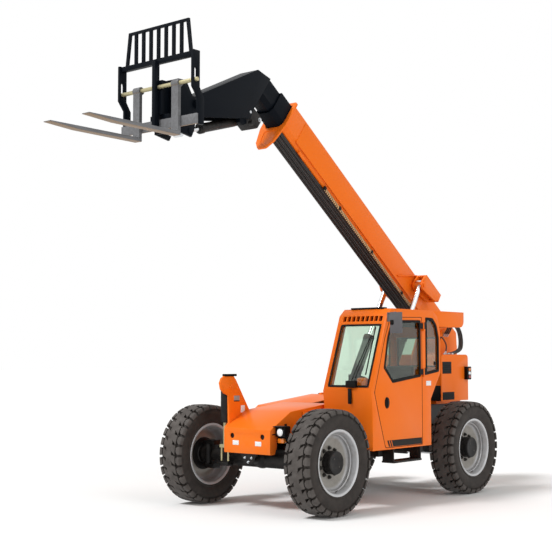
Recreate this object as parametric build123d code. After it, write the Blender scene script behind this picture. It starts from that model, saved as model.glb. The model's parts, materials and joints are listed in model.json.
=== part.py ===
"""Rough-terrain telehandler: rigid frame, side cab, three-section boom and fork carriage.

Lengths are millimetres. X runs forward and is measured here from the rear axle, Y to the machine's left and
Z up from the ground. save() moves each finished piece so that the part's origin is on the ground midway
between the four wheels.
"""
from math import cos, radians, sin
import os

from build123d import *

# ---- driving dimensions ---------------------------------------------------------------------------------
WHEELBASE = 3100.0
TYRE_R, TYRE_W = 635.0, 370.0
AXLE_Z = TYRE_R
LUG_H = 32.0                  # the lugs stand this far out of the carcass
LUGS = 20                     # lugs on each shoulder
BEAD_R, BEAD_Y = 373.0, 150.0
RIM_LIP_R = 396.0
NUTS, NUT_CIRCLE = 10, 173.0
HUB_R, HUB_END = 139.0, 128.0  # the planetary hub's drum, and its cover's place out from the wheel's middle
WHEEL_Y = 1030.0              # the wheels' middle planes
KINGPIN_Y = 930.0
KINGPIN_R = 62.0
STEER_BAR_X, STEER_BAR_Z = 205.0, -88.0   # steering ram, behind and below the axle's middle
FRAME_Y = 410.0               # outer face of the main side plates
FRAME_LOW, FRAME_TOP = 700.0, 1200.0
ARCH_TOP, ARCH_REACH = 925.0, 310.0
PLATE = 25.0
NOSE_Y = 380.0                # half the nose's width
NOSE_FRONT = 298.0            # ahead of the front axle
CAB_IN, CAB_OUT = 430.0, 1180.0
CAB_NOSE = WHEELBASE - 705.0  # clear of the steered tyre
CAB_FLOOR, CAB_TOP = 730.0, 2500.0
WALL = 40.0
DOOR_GAP = 6.0
GLASS = 6.0
BOOM_ANGLE = 36.3
BOOM_PIVOT = (-930.0, 0.0, 2090.0)
BOOM_PIN_R = 50.0
BOOM_Y = 170.0                # half the outer section's width
BOOM_TOP, BOOM_FLOOR = 314.0, -86.0       # above the line through the pivot
BOOM_MOUTH = 4720.0           # from the pivot to the outer section's end
BOOM_WALL = 12.0
STEP_IN = 25.0                # each section is this much smaller all round than the one outside it
TOWER_Y, TOWER_PLATE = 184.0, 30.0
LIFT_Y = 290.0                # the lift rams' planes
LIFT_BASE = (1250.0, 795.0)
LIFT_EYE = (1210.0, 161.0)    # along and above the boom's pivot line
LIFT_GAP = 54.0               # from a lift ram's plane to the ears on each side of it
EAR = 28.0
HEAD_Y = 150.0                # half the boom head's width
HEAD_PIN = (4520.0, 4830.0)
HEAD_PIN_R = 38.0
CHEEK_Y = HEAD_Y + 18         # inner faces of the coupler's cheek plates
TILT_BASE = (3620.0, 4790.0)
TILT_EYE = (4620.0, 4500.0)
TILT_PIN_R = 25.0
SWAY_R = 57.0                 # levelling ram's barrel
SWAY_Y = -NOSE_Y - 28 - SWAY_R - 3        # clear of the upright plate on the nose
SWAY_PIN = (185.0, 1505.0)    # ahead of the front axle, above the ground
HOOD_OUT, HOOD_IN = 1110.0, 425.0
HOOD_HINGE = (694.0, 1345.0)
SHAFT_R = 24.0
FIT = 0.3                     # gap between a seated piece and what carries it
PIN_FIT = 0.05                # radial gap of a fixed shaft in its bore

MOUTH_WEAR = STEP_IN - BOOM_WALL - FIT    # thickness of the pads that guide the next section

os.makedirs("parts", exist_ok=True)
BOOM = Location(BOOM_PIVOT, (0, -BOOM_ANGLE, 0))
FRONT = Pos(WHEELBASE, 0, 0)
CAB = Pos(CAB_NOSE, 0, 0)


# ---- small helpers --------------------------------------------------------------------------------------
def save(name, shape):
    """Writes one piece in the part's own frame."""
    shape = Pos(-WHEELBASE / 2, 0, 0) * shape
    shape.label = name
    export_step(shape, f"parts/{name}.step")


def box(x, y, z):
    """A block from its (low, high) spans."""
    size = [high - low for low, high in (x, y, z)]
    middle = [(high + low) / 2 for low, high in (x, y, z)]
    return Pos(*middle) * Box(*size)


def outline(points, radius=0.0):
    """A flat closed outline, its corners rounded where a radius is given."""
    face = Polygon(*points, align=None)
    if radius:
        face = fillet(face.vertices(), radius)
    return face


def grown(points, amount):
    """An outline moved outwards, or inwards when the amount is negative."""
    face = Polygon(*points, align=None)
    return offset(face, amount=amount, kind=Kind.INTERSECTION) if amount else face


def side_slab(face, y):
    """An (x, z) face given thickness across the machine, from y[0] to y[1]."""
    plane = Plane(origin=(0, y[1], 0), x_dir=(1, 0, 0), z_dir=(0, -1, 0))
    return extrude(plane * face, amount=y[1] - y[0], dir=(0, -1, 0))


def side_plate(points, y, radius=0.0):
    return side_slab(outline(points, radius), y)


def cross_plate(points, x, radius=0.0):
    """A (y, z) outline given thickness along the machine, from x[0] to x[1]."""
    plane = Plane(origin=(x[0], 0, 0), x_dir=(0, 1, 0), z_dir=(1, 0, 0))
    return extrude(plane * outline(points, radius), amount=x[1] - x[0], dir=(1, 0, 0))


def flat_plate(points, z, radius=0.0):
    """An (x, y) outline given height from z[0] to z[1]."""
    return extrude(Pos(0, 0, z[0]) * outline(points, radius), amount=z[1] - z[0], dir=(0, 0, 1))


def rod(start, end, radius, bore=0.0):
    """A round bar between two points, or a tube when it has a bore."""
    start, end = Vector(*start), Vector(*end)
    plane = Plane(origin=start, z_dir=end - start)
    ring = Circle(radius) - Circle(bore) if bore else Circle(radius)
    return extrude(plane * ring, amount=(end - start).length)


def cross_rod(x, z, y, radius, bore=0.0):
    """A round bar or tube across the machine, from y[0] to y[1]."""
    return rod((x, y[0], z), (x, y[1], z), radius, bore)


def turned(profile):
    """A solid turned about the Y axis from (radius, y) points."""
    return revolve(Polygon(*profile, align=None), Axis.Y)


def ring_of(piece, count):
    """Copies of a piece turned about the Y axis."""
    return [Rot(0, i * 360 / count, 0) * piece for i in range(count)]


def mirrored(shape):
    return mirror(shape, Plane.XZ)


def group(pieces):
    """Separate solids that make one node."""
    return Part() + pieces


def both(shape):
    """A piece, or a list of them, on the machine's left with its twin on the right."""
    shape = Part() + shape
    return shape + mirrored(shape)


def on_boom(along, above):
    """The (x, z) place of a point given along and above the boom's pivot line."""
    a = radians(BOOM_ANGLE)
    x0, _, z0 = BOOM_PIVOT
    return x0 + along * cos(a) - above * sin(a), z0 + along * sin(a) + above * cos(a)


# ---- wheels ---------------------------------------------------------------------------------------------
def tyre():
    """Lugged tyre about the Y axis: bulging carcass, then staggered slanted lugs on each shoulder."""
    half, shoulder = TYRE_W / 2, TYRE_R - LUG_H - 21
    lip = RIM_LIP_R + 4
    with BuildSketch(Plane.XY) as section:
        with BuildLine():
            Polyline((lip, -BEAD_Y - 10), (lip, -BEAD_Y), (BEAD_R, -BEAD_Y), (BEAD_R, BEAD_Y), (lip, BEAD_Y),
                     (lip, BEAD_Y + 10))
            ThreePointArc((lip, BEAD_Y + 10), ((lip + shoulder) / 2, half), (shoulder, half - 22))
            ThreePointArc((shoulder, half - 22), (TYRE_R - LUG_H, 0), (shoulder, 22 - half))
            ThreePointArc((shoulder, 22 - half), ((lip + shoulder) / 2, -half), (lip, -BEAD_Y - 10))
        make_face()
    carcass = revolve(section.sketch, Axis.Y)
    root = TYRE_R - LUG_H - 7
    lug = Pos(0, 0.476 * half, root) * Rot(0, 0, 22) * Box(0.164 * TYRE_R, 0.53 * TYRE_W, 2 * (TYRE_R - root))
    envelope = Rot(90, 0, 0) * Cylinder(TYRE_R, TYRE_W)
    near = lug & envelope
    lugs = ring_of(near, LUGS)
    lugs += [Rot(0, 180 / LUGS, 0) * piece for piece in ring_of(mirrored(near), LUGS)]
    return carcass + lugs


def rim():
    """Rim with two lips, a cone and a flat disc, dished towards the outside (+Y)."""
    seat, lip = BEAD_R - FIT, BEAD_Y + 8
    disc = turned([(352, -lip), (RIM_LIP_R, -lip), (RIM_LIP_R, -BEAD_Y - FIT), (seat, -BEAD_Y - FIT),
                   (seat, BEAD_Y + FIT), (RIM_LIP_R, BEAD_Y + FIT), (RIM_LIP_R, lip), (362, lip), (362, 40),
                   (236, 12), (HUB_R + FIT, 12), (HUB_R + FIT, -6), (240, -6), (352, 20)])
    return disc - ring_of(Pos(0, 3, NUT_CIRCLE) * (Rot(90, 0, 0) * Cylinder(14, 40)), NUTS)


def hub():
    """Planetary hub through the rim's middle, with its ring of studs and nuts."""
    body = turned([(0, -36), (122, -36), (128, -26), (205, -26), (205, -6 - FIT), (HUB_R, -6 - FIT),
                   (HUB_R, HUB_END - 9), (HUB_R - 9, HUB_END), (0, HUB_END)])
    stud = Pos(0, 6, NUT_CIRCLE) * (Rot(90, 0, 0) * Cylinder(13.5, 34))
    nut = Pos(0, 12 + FIT, NUT_CIRCLE) * (Rot(-90, 0, 0) * extrude(RegularPolygon(20, 6), 14))
    return body + ring_of(stud, NUTS) + ring_of(nut, NUTS)


def knuckle(ahead):
    """Left knuckle about its kingpin, the steering arm on the side that ahead points to (1 or -1)."""
    trunnion = Cylinder(KINGPIN_R, 268)
    carrier = turned([(0, 0), (124, 0), (124, 40), (100, WHEEL_Y - KINGPIN_Y - 36 - FIT),
                      (0, WHEEL_Y - KINGPIN_Y - 36 - FIT)])
    z = STEER_BAR_Z
    arm = flat_plate([(0, 55), (0, 0), (ahead * 195, -92), (ahead * 240, -75)], (z - 18, z + 18))
    eye = Pos(ahead * 220, -90, z) * Cylinder(30, 50)
    return trunnion + carrier + arm + eye


def wheels():
    tyre_solid, rim_solid, hub_solid = tyre(), rim(), hub()
    for end, x, ahead in (("rear", 0.0, 1), ("front", WHEELBASE, -1)):
        turn = knuckle(ahead)
        for side, sign in (("left", 1), ("right", -1)):
            wheel = Pos(x, sign * WHEEL_Y, AXLE_Z)
            for kind, solid in (("tyre", tyre_solid), ("rim", rim_solid), ("hub", hub_solid)):
                save(f"{kind}_{end}_{side}", wheel * (solid if sign == 1 else mirrored(solid)))
            save(f"knuckle_{end}_{side}", Pos(x, sign * KINGPIN_Y, AXLE_Z) * (turn if sign == 1 else mirrored(turn)))


# ---- axles ----------------------------------------------------------------------------------------------
PIVOT_R, PIVOT_END = 38.0, 240.0      # the axles roll on fore-and-aft pins in these bores
SWAY_LUG = -70.0                      # top of the levelling ram's lug, from the axle's middle


def axle(ahead):
    """Axle housing about its middle: differential, beams, end yokes, roll bore and steering ram's barrel."""
    beam = extrude(Plane.XZ * Rectangle(150, 230), amount=640, both=True)
    tube = rod((0, -800, 0), (0, 800, 0), 92)
    diff = Sphere(135)
    trunnion = rod((-PIVOT_END + 30, 0, 0), (PIVOT_END - 30, 0, 0), PIVOT_R + 26)
    yoke_back = box((-60, 60), (782, 822), (-178, 178))
    inner_z = 134 + FIT
    arms = [flat_plate([(-62, 790), (62, 790), (62, 965), (-62, 965)], z, 20)
            for z in ((inner_z, 178), (-178, -inner_z))]
    web = box((-60, 60), (700, 800), (-120, 120))
    bar_x = ahead * STEER_BAR_X
    near, far = sorted((ahead * 80, bar_x))
    mount = both(box((near, far), (120, 190), (STEER_BAR_Z - 30, STEER_BAR_Z + 30)))
    shell = rod((bar_x, -215, STEER_BAR_Z), (bar_x, 215, STEER_BAR_Z), 40)
    housing = beam + tube + diff + trunnion + both(yoke_back + arms + web) + mount + shell
    housing -= rod((bar_x, -230, STEER_BAR_Z), (bar_x, 230, STEER_BAR_Z), 20 + FIT)
    return housing - rod((-PIVOT_END, 0, 0), (PIVOT_END, 0, 0), PIVOT_R + FIT)


def axles():
    """Both axles with their sliding steering bars, and the hangers whose pins carry them."""
    for end, x, ahead in (("rear", 0.0, 1), ("front", WHEELBASE, -1)):
        body = axle(ahead)
        if end == "front":
            reach = SWAY_PIN[0]
            body += box((60, reach - 30), (SWAY_Y - 30, SWAY_Y + 30), (-115, SWAY_LUG - 10))
            body += box((reach - 32, reach + 32), (SWAY_Y - 76, SWAY_Y + 76), (-115, SWAY_LUG))
        save(f"{end}_axle", Pos(x, 0, AXLE_Z) * body)
        bar = rod((ahead * STEER_BAR_X, -795, STEER_BAR_Z), (ahead * STEER_BAR_X, 795, STEER_BAR_Z), 20)
        save(f"{end}_steer_rod", Pos(x, 0, AXLE_Z) * bar)
    hangers = []
    for x in (0.0, WHEELBASE):
        for sign in (-1, 1):
            near, far = sorted((x + sign * (PIVOT_END + 10), x + sign * (PIVOT_END + 35)))
            top = FRAME_LOW + 280 if x and sign == 1 else ARCH_TOP
            width = NOSE_Y - 20 if x and sign == 1 else FRAME_Y - PLATE
            hangers.append(cross_plate([(-70, AXLE_Z - 55), (70, AXLE_Z - 55), (100, AXLE_Z + 20), (width, 900),
                                        (width, top), (-width, top), (-width, 900), (-100, AXLE_Z + 20)],
                                       (near, far)) +
                           rod((x + sign * 60, 0, AXLE_Z), (x + sign * (PIVOT_END + 20), 0, AXLE_Z), PIVOT_R))
    save("axle_hangers", group(hangers))


# ---- chassis --------------------------------------------------------------------------------------------
TOW_Y, TOW_Z, TOW_R = 247.0, 912.0, 33.0       # tie-down holes in the nose


def main_frame():
    """Two long side plates arched over the axles, cross plates, belly, cab beams and the boom's tower."""
    top, low = FRAME_TOP, FRAME_LOW
    tail, reach = -1020, ARCH_REACH
    front = WHEELBASE - reach
    profile = [(tail, low), (-reach, low), (-reach, ARCH_TOP), (reach, ARCH_TOP), (reach, low), (front, low),
               (front, top), (tail, top)]
    inner = FRAME_Y - PLATE
    plates = both(side_plate(profile, (inner, FRAME_Y)))
    across = (-inner, inner)
    cross = [box((tail, tail + 20), across, (low, top)), box((-430, -410), across, (ARCH_TOP, top)),
             box((front - 90, front - 70), across, (low, top)),
             box((-reach, reach), across, (ARCH_TOP, ARCH_TOP + 12))]
    deck = box((tail, -410), across, (top - 20, top))
    belly = box((reach + 100, front - 80), across, (low, low + 12))
    base_x, base_z = LIFT_BASE
    cups = [box((base_x - 60, base_x + 60), (y - 12, y + 12), (low, base_z + 45)) for y in (-205, 205)]
    shaft = cross_rod(base_x, base_z, across, 29)
    px, _, pz = BOOM_PIVOT
    tower_profile = [(px - 220, top - 15), (px - 255, pz - 40), (px - 190, pz + 150), (px, pz + 240),
                     (px + 180, pz + 170), (px + 370, pz - 190), (px + 500, top - 15)]
    tower = both(side_plate(tower_profile, (TOWER_Y, TOWER_Y + TOWER_PLATE), 60))
    pin = cross_rod(px, pz, (-TOWER_Y - TOWER_PLATE, TOWER_Y + TOWER_PLATE), BOOM_PIN_R)
    tie = box((px - 220, px - 200), (-TOWER_Y - 10, TOWER_Y + 10), (top - 10, pz - 390))
    cab_beams = [box((x, x + 90), (FRAME_Y - 5, CAB_OUT - 90), (CAB_FLOOR - 90, CAB_FLOOR))
                 for x in (CAB_NOSE - 1250, CAB_NOSE - 330)]
    hx, hz = HOOD_HINGE
    hood_beam = box((hx - 16, hx + 14), (-HOOD_OUT + 110, 5 - FRAME_Y), (hz - 75, hz - 27))
    neck = box((hx - 16, hx + 14), (-FRAME_Y, -inner), (top - 20, hz - 27))
    posts = [box((hx - 12, hx + 12), (y, y + 15), (hz - 30, hz + 12)) for y in (-1000, -735, -440)]
    hood_pin = cross_rod(hx, hz, (-HOOD_OUT + 110, 15 - 440), 12)
    return plates + cross + deck + belly + cups + shaft + tower + pin + tie + cab_beams + hood_beam + neck + \
        posts + hood_pin


def nose():
    """Sloped box over the front axle: front plate with two tie-down holes, ramp, top and side plates."""
    front, skin = NOSE_FRONT, 20
    top = FRAME_TOP
    solid = side_plate([(front, FRAME_LOW), (front, 1000), (-90, 1210), (-860, 1290), (-860, top),
                        (-ARCH_REACH, top), (-ARCH_REACH, 930), (140, 930), (175, 890), (175, 780), (215, FRAME_LOW)],
                       (-NOSE_Y, NOSE_Y))
    hollow = side_plate([(front - skin, 600), (front - skin, 990), (-98, 1193), (-540, 1238), (-540, 600)],
                        (skin - NOSE_Y, NOSE_Y - skin))
    shell = solid - hollow
    for y in (-TOW_Y, TOW_Y):
        shell -= rod((front - 40, y, TOW_Z), (front + 20, y, TOW_Z), TOW_R)
    return FRONT * shell


def sway_bracket():
    """Upright plate on the nose that carries the levelling ram's upper pin."""
    x, z = SWAY_PIN
    y1 = -NOSE_Y
    plate = side_plate([(280, 1004), (45, 1108), (-185, 1198), (80, 1600), (135, 1655), (265, 1660), (345, 1620),
                        (375, 1560), (355, 1480), (295, 1430), (215, 1400), (205, 1060)], (y1 - 28, y1))
    return FRONT * (plate + cross_rod(x, z, (SWAY_Y - 52, y1 + 12), 22))


def sway_cylinder():
    """Barrel with its upper eye, and the rod with its crosshead and twin links down to the axle."""
    x, z = SWAY_PIN
    y, rod_r = SWAY_Y, 25
    shell = rod((x, y, z - 30), (x, y, 1060), SWAY_R) + cross_rod(x, z, (y - 25, y + 25), 48)
    shell = shell - rod((x, y, z - 90), (x, y, 1050), rod_r + FIT) - cross_rod(x, z, (y - 30, y + 30), 22 + FIT)
    save("sway_barrel", FRONT * shell)
    foot = AXLE_Z + SWAY_LUG + 15
    stem = rod((x, y, 1330), (x, y, foot + 195), rod_r)
    head = box((x - 24, x + 24), (y - 74, y + 74), (foot + 165, foot + 205))
    links = [rod((x, y + s, foot + 190), (x, y + s, foot), 14) for s in (-56, 56)]
    save("sway_rod", FRONT * (stem + head + links))


def rear_boxes():
    """Tall side boxes flanking the tower, louvre patches let into the outer faces."""
    x0, x1, low, top = -990, -240, FRAME_TOP + 45, 1920
    inner, outer = TOWER_Y + TOWER_PLATE + 6, 520
    body = box((x0, x1), (inner, outer), (low, top))
    body = fillet(body.edges().filter_by(Axis.Y).group_by(Axis.Z)[-1], 60)
    for patch_low, patch_top, reach in ((1262, 1375, 350), (1642, 1815, 275)):
        pitch = (patch_top - patch_low) / 6
        for i in range(6):
            z = patch_low + (i + 0.5) * pitch
            body -= box((x1 - reach, x1 - 35), (outer - 10, outer + 10), (z - 5, z + 5))
    feet = box((x0 + 40, x1 - 40), (inner + 5, FRAME_Y - 5), (FRAME_TOP, low + 1))
    save("rear_box_left", body + feet)
    save("rear_box_right", mirrored(body + feet))


def counterweight():
    block = box((-1190, -1020), (-FRAME_Y, FRAME_Y), (720, 1180))
    return chamfer(block.edges().filter_by(Axis.X), 60)


def engine():
    """Engine block on the right of the frame, and the hood over it, hinged along its rear top edge."""
    nose_x = WHEELBASE - 750
    rear, low, skin = 720, 760, 14
    save("engine_block", box((rear + 6, nose_x - 450), (-HOOD_OUT + 110, -FRAME_Y), (780, 1140)))
    profile = [(rear, low), (nose_x, low), (nose_x, 950), (nose_x - 430, 1220), (rear, 1345)]
    lintel = 1345 - 140           # the rear stays open below this, so that the hood clears the engine
    inner = [(rear - 60, low - 60), (nose_x - skin, low - 60), (nose_x - skin, 944), (nose_x - 436, 1206),
             (rear + skin, 1330), (rear + skin, lintel), (rear - 60, lintel)]
    shell = side_plate(profile, (-HOOD_OUT, -HOOD_IN)) - side_plate(inner, (-HOOD_OUT + skin, -HOOD_IN + 25))
    hx, hz = HOOD_HINGE
    for y in (-950, -520):
        knuckle_y = (y, y + 50)
        shell += cross_rod(hx, hz, knuckle_y, 22) + box((hx, rear + 30), knuckle_y, (hz - 8, hz + 18))
    save("engine_hood", shell - cross_rod(hx, hz, (-HOOD_OUT, -HOOD_IN), 12 + FIT))


def lamps():
    """Head lamps beside the nose and tail lamps on the rear boxes' outer faces."""
    lamp = box((95, 210), (NOSE_Y, NOSE_Y + 150), (920, 1040)) + \
        rod((200, NOSE_Y + 88, 975), (225, NOSE_Y + 88, 975), 48)
    save("head_lamps", FRONT * group([lamp, Pos(-155, 0, 0) * mirrored(lamp)]))
    outer = 520
    tail = box((-985, -880), (outer, outer + 55), (1550, 1742)) + \
        box((-1000, -980), (outer + 5, outer + 50), (1556, 1736))
    save("tail_lamps", both(tail))


# ---- cab: outlines are measured back from its nose ------------------------------------------------------
CAB_REAR = -1560.0
CAB_PROFILE = [(-1320, CAB_FLOOR), (0, CAB_FLOOR), (5, 1250), (30, 1455), (-325, 2410), (-435, CAB_TOP),
               (-1385, CAB_TOP), (-1490, CAB_TOP - 75), (CAB_REAR, CAB_TOP - 290), (CAB_REAR, 1680), (-1320, 1335)]
DOOR_PROFILE = [(-1110, 755), (-272, 755), (-130, 1168), (-42, 1446), (-270, 2120), (-395, 2385), (-1110, 2400)]
DOOR_GLASS = [(-1085, 1628), (-1085, 2365), (-418, 2352), (-320, 2120), (-240, 1745), (-435, 1556)]
QUARTER = [(-1525, 1690), (-1200, 1648), (-1200, 2405), (-1375, 2400), (-1470, 2310), (-1525, 2140)]
RIGHT_WINDOW = [(-1450, 1500), (-135, 1500), (-435, 2350), (-1370, 2350), (-1450, 2190)]

REAR_PANE_TOP = CAB_TOP - 350


def cab_shell(glass_y):
    """One folded hollow shell with its door, window and vent openings cut."""
    shell = side_plate(CAB_PROFILE, (CAB_IN, CAB_OUT))
    shell -= side_slab(grown(CAB_PROFILE, -WALL), (CAB_IN + WALL, CAB_OUT - WALL))
    left = (CAB_OUT - WALL - 5, CAB_OUT + 5)
    shell -= side_slab(grown(DOOR_PROFILE, DOOR_GAP), left)
    shell -= side_plate(QUARTER, left)
    shell -= side_plate(RIGHT_WINDOW, (CAB_IN - 5, CAB_IN + WALL + 5))
    shell -= box((-495, 205), glass_y, (1505, 2300))
    shell -= box((CAB_REAR - 80, CAB_REAR + 60), glass_y, (1750, REAR_PANE_TOP))
    slots, span = 9, glass_y[1] - glass_y[0]
    for i in range(slots):
        y = glass_y[0] + (i + 0.5) * span / slots
        shell -= box((-440, -195), (y - 26, y + 26), (2338, 2405))
    return shell


def cab_glass(glass_y):
    """Windscreen, quarter, side and rear panes, each inside its opening."""
    low, high = 1505 + FIT, 2300 - FIT
    lean = (2410 - 1455) / (325 + 30)
    foot = 18 - (low - 1455) / lean
    front = Polygon((foot, low), (foot - GLASS, low), (foot - GLASS - (high - low) / lean, high),
                    (foot - (high - low) / lean, high), align=None)
    inside = (glass_y[0] + FIT, glass_y[1] - FIT)
    return group([
        side_slab(front, inside),
        side_slab(grown(QUARTER, -FIT), (CAB_OUT - 20, CAB_OUT - 20 + GLASS)),
        side_slab(grown(RIGHT_WINDOW, -FIT), (CAB_IN + 14, CAB_IN + 14 + GLASS)),
        box((CAB_REAR + 18, CAB_REAR + 18 + GLASS), inside, (1750 + FIT, REAR_PANE_TOP - FIT))])


def cab_door():
    door = side_plate(DOOR_PROFILE, (CAB_OUT - WALL, CAB_OUT))
    door -= side_plate(DOOR_GLASS, (CAB_OUT - WALL - 5, CAB_OUT + 5))
    for z in (1690, 2290):
        door += rod((-1133, CAB_OUT + 14, z - 45), (-1133, CAB_OUT + 14, z + 45), 12)
        door += box((-1133, -1065), (CAB_OUT + 2, CAB_OUT + 12), (z - 35, z + 35))
        door += box((-1105, -1065), (CAB_OUT - 1, CAB_OUT + 3), (z - 35, z + 35))
    return door


def hinge_eyes():
    """Brackets on the rear door post, one under each of the door's two pins."""
    return [box((-1160, -1118), (CAB_OUT - 1, CAB_OUT + 28), (z - 65, z - 45)) for z in (1690, 2290)]


def interior():
    """Seat on its box, and the steering column with its wheel."""
    floor = CAB_FLOOR + WALL
    middle = (CAB_IN + CAB_OUT) / 2
    seat = side_plate([(-1215, 1120), (-675, 1120), (-660, 1235), (-1085, 1225), (-1145, 1830), (-1245, 1830)],
                      (middle - 240, middle + 240), 25)
    base = box((-1135, -715), (middle - 185, middle + 185), (floor, 1125))
    save("seat", CAB * (seat + base))
    column = side_plate([(-215, floor), (-55, floor), (-65, 1350), (-195, 1420), (-255, 1380)],
                        (middle - 165, middle + 165))
    stem = rod((-205, middle, 1380), (-335, middle, 1500), 22)
    tilted = Location(Plane(origin=(-340, middle, 1505), z_dir=(-13, 0, 12)))
    save("console", CAB * (column + stem + tilted * Torus(175, 15) + tilted * Box(350, 30, 14)))


def cab():
    """Cab on the left: shell, panes, door, seat, console, roof fairing, mirror and step."""
    glass_y = (CAB_IN + 60, CAB_OUT - 55)
    save("cab_shell", CAB * (cab_shell(glass_y) + hinge_eyes()))
    save("cab_glass", CAB * cab_glass(glass_y))
    save("cab_door", CAB * cab_door())
    save("door_glass", CAB * side_slab(grown(DOOR_GLASS, -FIT), (CAB_OUT - 22, CAB_OUT - 22 + GLASS)))
    interior()
    fairing = box((-2210, -1400), (CAB_IN + 40, CAB_OUT - 20), (CAB_TOP - 210, CAB_TOP))
    fairing = fillet(fairing.edges().filter_by(Axis.Y).group_by(Axis.X)[0].sort_by(Axis.Z)[0], 90)
    save("roof_fairing", CAB * (fairing - side_slab(grown(CAB_PROFILE, FIT), (CAB_IN, CAB_OUT))))
    arm_end = (-225, CAB_OUT + 200, 2435)
    arm = rod((-343, CAB_OUT + 8, 2435), arm_end, 11) + rod(arm_end, (-225, CAB_OUT + 200, 2400), 11)
    glass = box((-240, -210), (CAB_OUT + 120, CAB_OUT + 285), (2180, 2440))
    foot = box((-365, -320), (CAB_OUT, CAB_OUT + 14), (2330, 2445))
    save("mirror", CAB * (arm + glass + foot))
    step = box((-1075, -440), (CAB_OUT - 180, CAB_OUT + 10), (550, 575))
    step += [box((x, x + 20), (CAB_OUT - 170, CAB_OUT), (570, CAB_FLOOR)) for x in (-1075, -460)]
    save("step", CAB * step)


# ---- boom: outlines are measured along and above its pivot line ------------------------------------------
def section(inset, wall, span):
    """A hollow box section of the boom, inset from the outer one."""
    half = BOOM_Y - inset
    low, high = BOOM_FLOOR + inset, BOOM_TOP - inset
    chamfer_y, chamfer_z = 45, 70
    face = [(-half, high), (half, high), (half, low + chamfer_z), (half - chamfer_y, low), (chamfer_y - half, low),
            (-half, low + chamfer_z)]
    plane = Plane(origin=(span[0], 0, 0), x_dir=(0, 1, 0), z_dir=(1, 0, 0))
    ring = Polygon(*face, align=None) - grown(face, -wall)
    return extrude(plane * ring, amount=span[1] - span[0], dir=(1, 0, 0))


def wear_pads(inset, wall, mouth):
    """Four pads inside a section's mouth that guide the next section."""
    half = BOOM_Y - inset - wall
    low, high = BOOM_FLOOR + inset + wall, BOOM_TOP - inset - wall
    x = (mouth - 120, mouth - 10)
    pads = both(box(x, (half - MOUTH_WEAR, half + 1), (high - 180, high - 60)))
    pads += both(box(x, (half - 110, half - 40), (high - MOUTH_WEAR, high + 1)))
    pads += both(box(x, (half - 110, half - 50), (low - 1, low + MOUTH_WEAR)))
    return pads


def boom_outer():
    """Outer section with its rounded tail, pivot bosses, lift ears and collar."""
    tube = section(0, BOOM_WALL, (-120, BOOM_MOUTH))
    tail_profile = [(0, -215), (330, BOOM_FLOOR + 80), (330, BOOM_TOP), (-150, BOOM_TOP), (-290, 150), (-290, -80),
                    (-190, -190)]
    tail = both(side_plate(tail_profile, (BOOM_Y - BOOM_WALL, BOOM_Y), 40))
    boss = both(cross_rod(0, 0, (120, TOWER_Y - FIT), 95))
    sleeve = cross_rod(0, 0, (5 - BOOM_Y, BOOM_Y - 5), 70)
    ex, ez = LIFT_EYE
    lid = ez + 149
    ear_profile = [(ex - 440, lid), (ex + 30, lid), (ex + 65, ez + 40), (ex + 60, ez - 50), (ex, ez - 85),
                   (ex - 100, ez - 75), (ex - 380, ez - 20)]
    near, far = LIFT_Y - LIFT_GAP, LIFT_Y + LIFT_GAP
    ears = both([side_plate(ear_profile, (near - EAR, near)), side_plate(ear_profile, (far, far + EAR))])
    saddle = both(box((ex - 440, ex + 30), (BOOM_Y - 1, far + EAR), (lid - 20, lid)))
    root = both(box((ex - 440, ex - 400), (BOOM_Y - 1, far + EAR), (ez + 20, lid)))
    rib = both(side_plate([(ex + 10, BOOM_TOP), (ex + 35, BOOM_TOP), (ex + 410, BOOM_FLOOR + 90),
                           (ex + 385, BOOM_FLOOR + 90)], (BOOM_Y - 1, BOOM_Y + 28)))
    pin_heads = both([cross_rod(ex, ez, (far + EAR - 1, far + EAR + 14), 46),
                      cross_rod(ex, ez, (BOOM_Y - 1, near - EAR + 1), 46)])
    mouth = BOOM_MOUTH
    collar_face = [(-215, BOOM_TOP + 40), (215, BOOM_TOP + 40), (215, -60), (150, -330), (70, -440), (-70, -440),
                   (-150, -330), (-215, -60)]
    collar = cross_plate(collar_face, (mouth - 25, mouth), 40)
    inner = BOOM_Y - BOOM_WALL
    opening = [(-inner, BOOM_TOP - BOOM_WALL), (inner, BOOM_TOP - BOOM_WALL), (inner, BOOM_FLOOR + 80),
               (inner - 45, BOOM_FLOOR + BOOM_WALL), (45 - inner, BOOM_FLOOR + BOOM_WALL), (-inner, BOOM_FLOOR + 80)]
    collar -= cross_plate(opening, (mouth - 30, mouth + 5))
    collar -= cross_plate([(-105, -130), (105, -130), (85, -300), (40, -370), (-40, -370), (-85, -300)],
                          (mouth - 9, mouth + 5), 20)
    solid = tube + tail + boss + sleeve + ears + saddle + root + rib + pin_heads + collar + \
        wear_pads(0, BOOM_WALL, mouth)
    return solid - cross_rod(0, 0, (-300, 300), BOOM_PIN_R + FIT)


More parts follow.
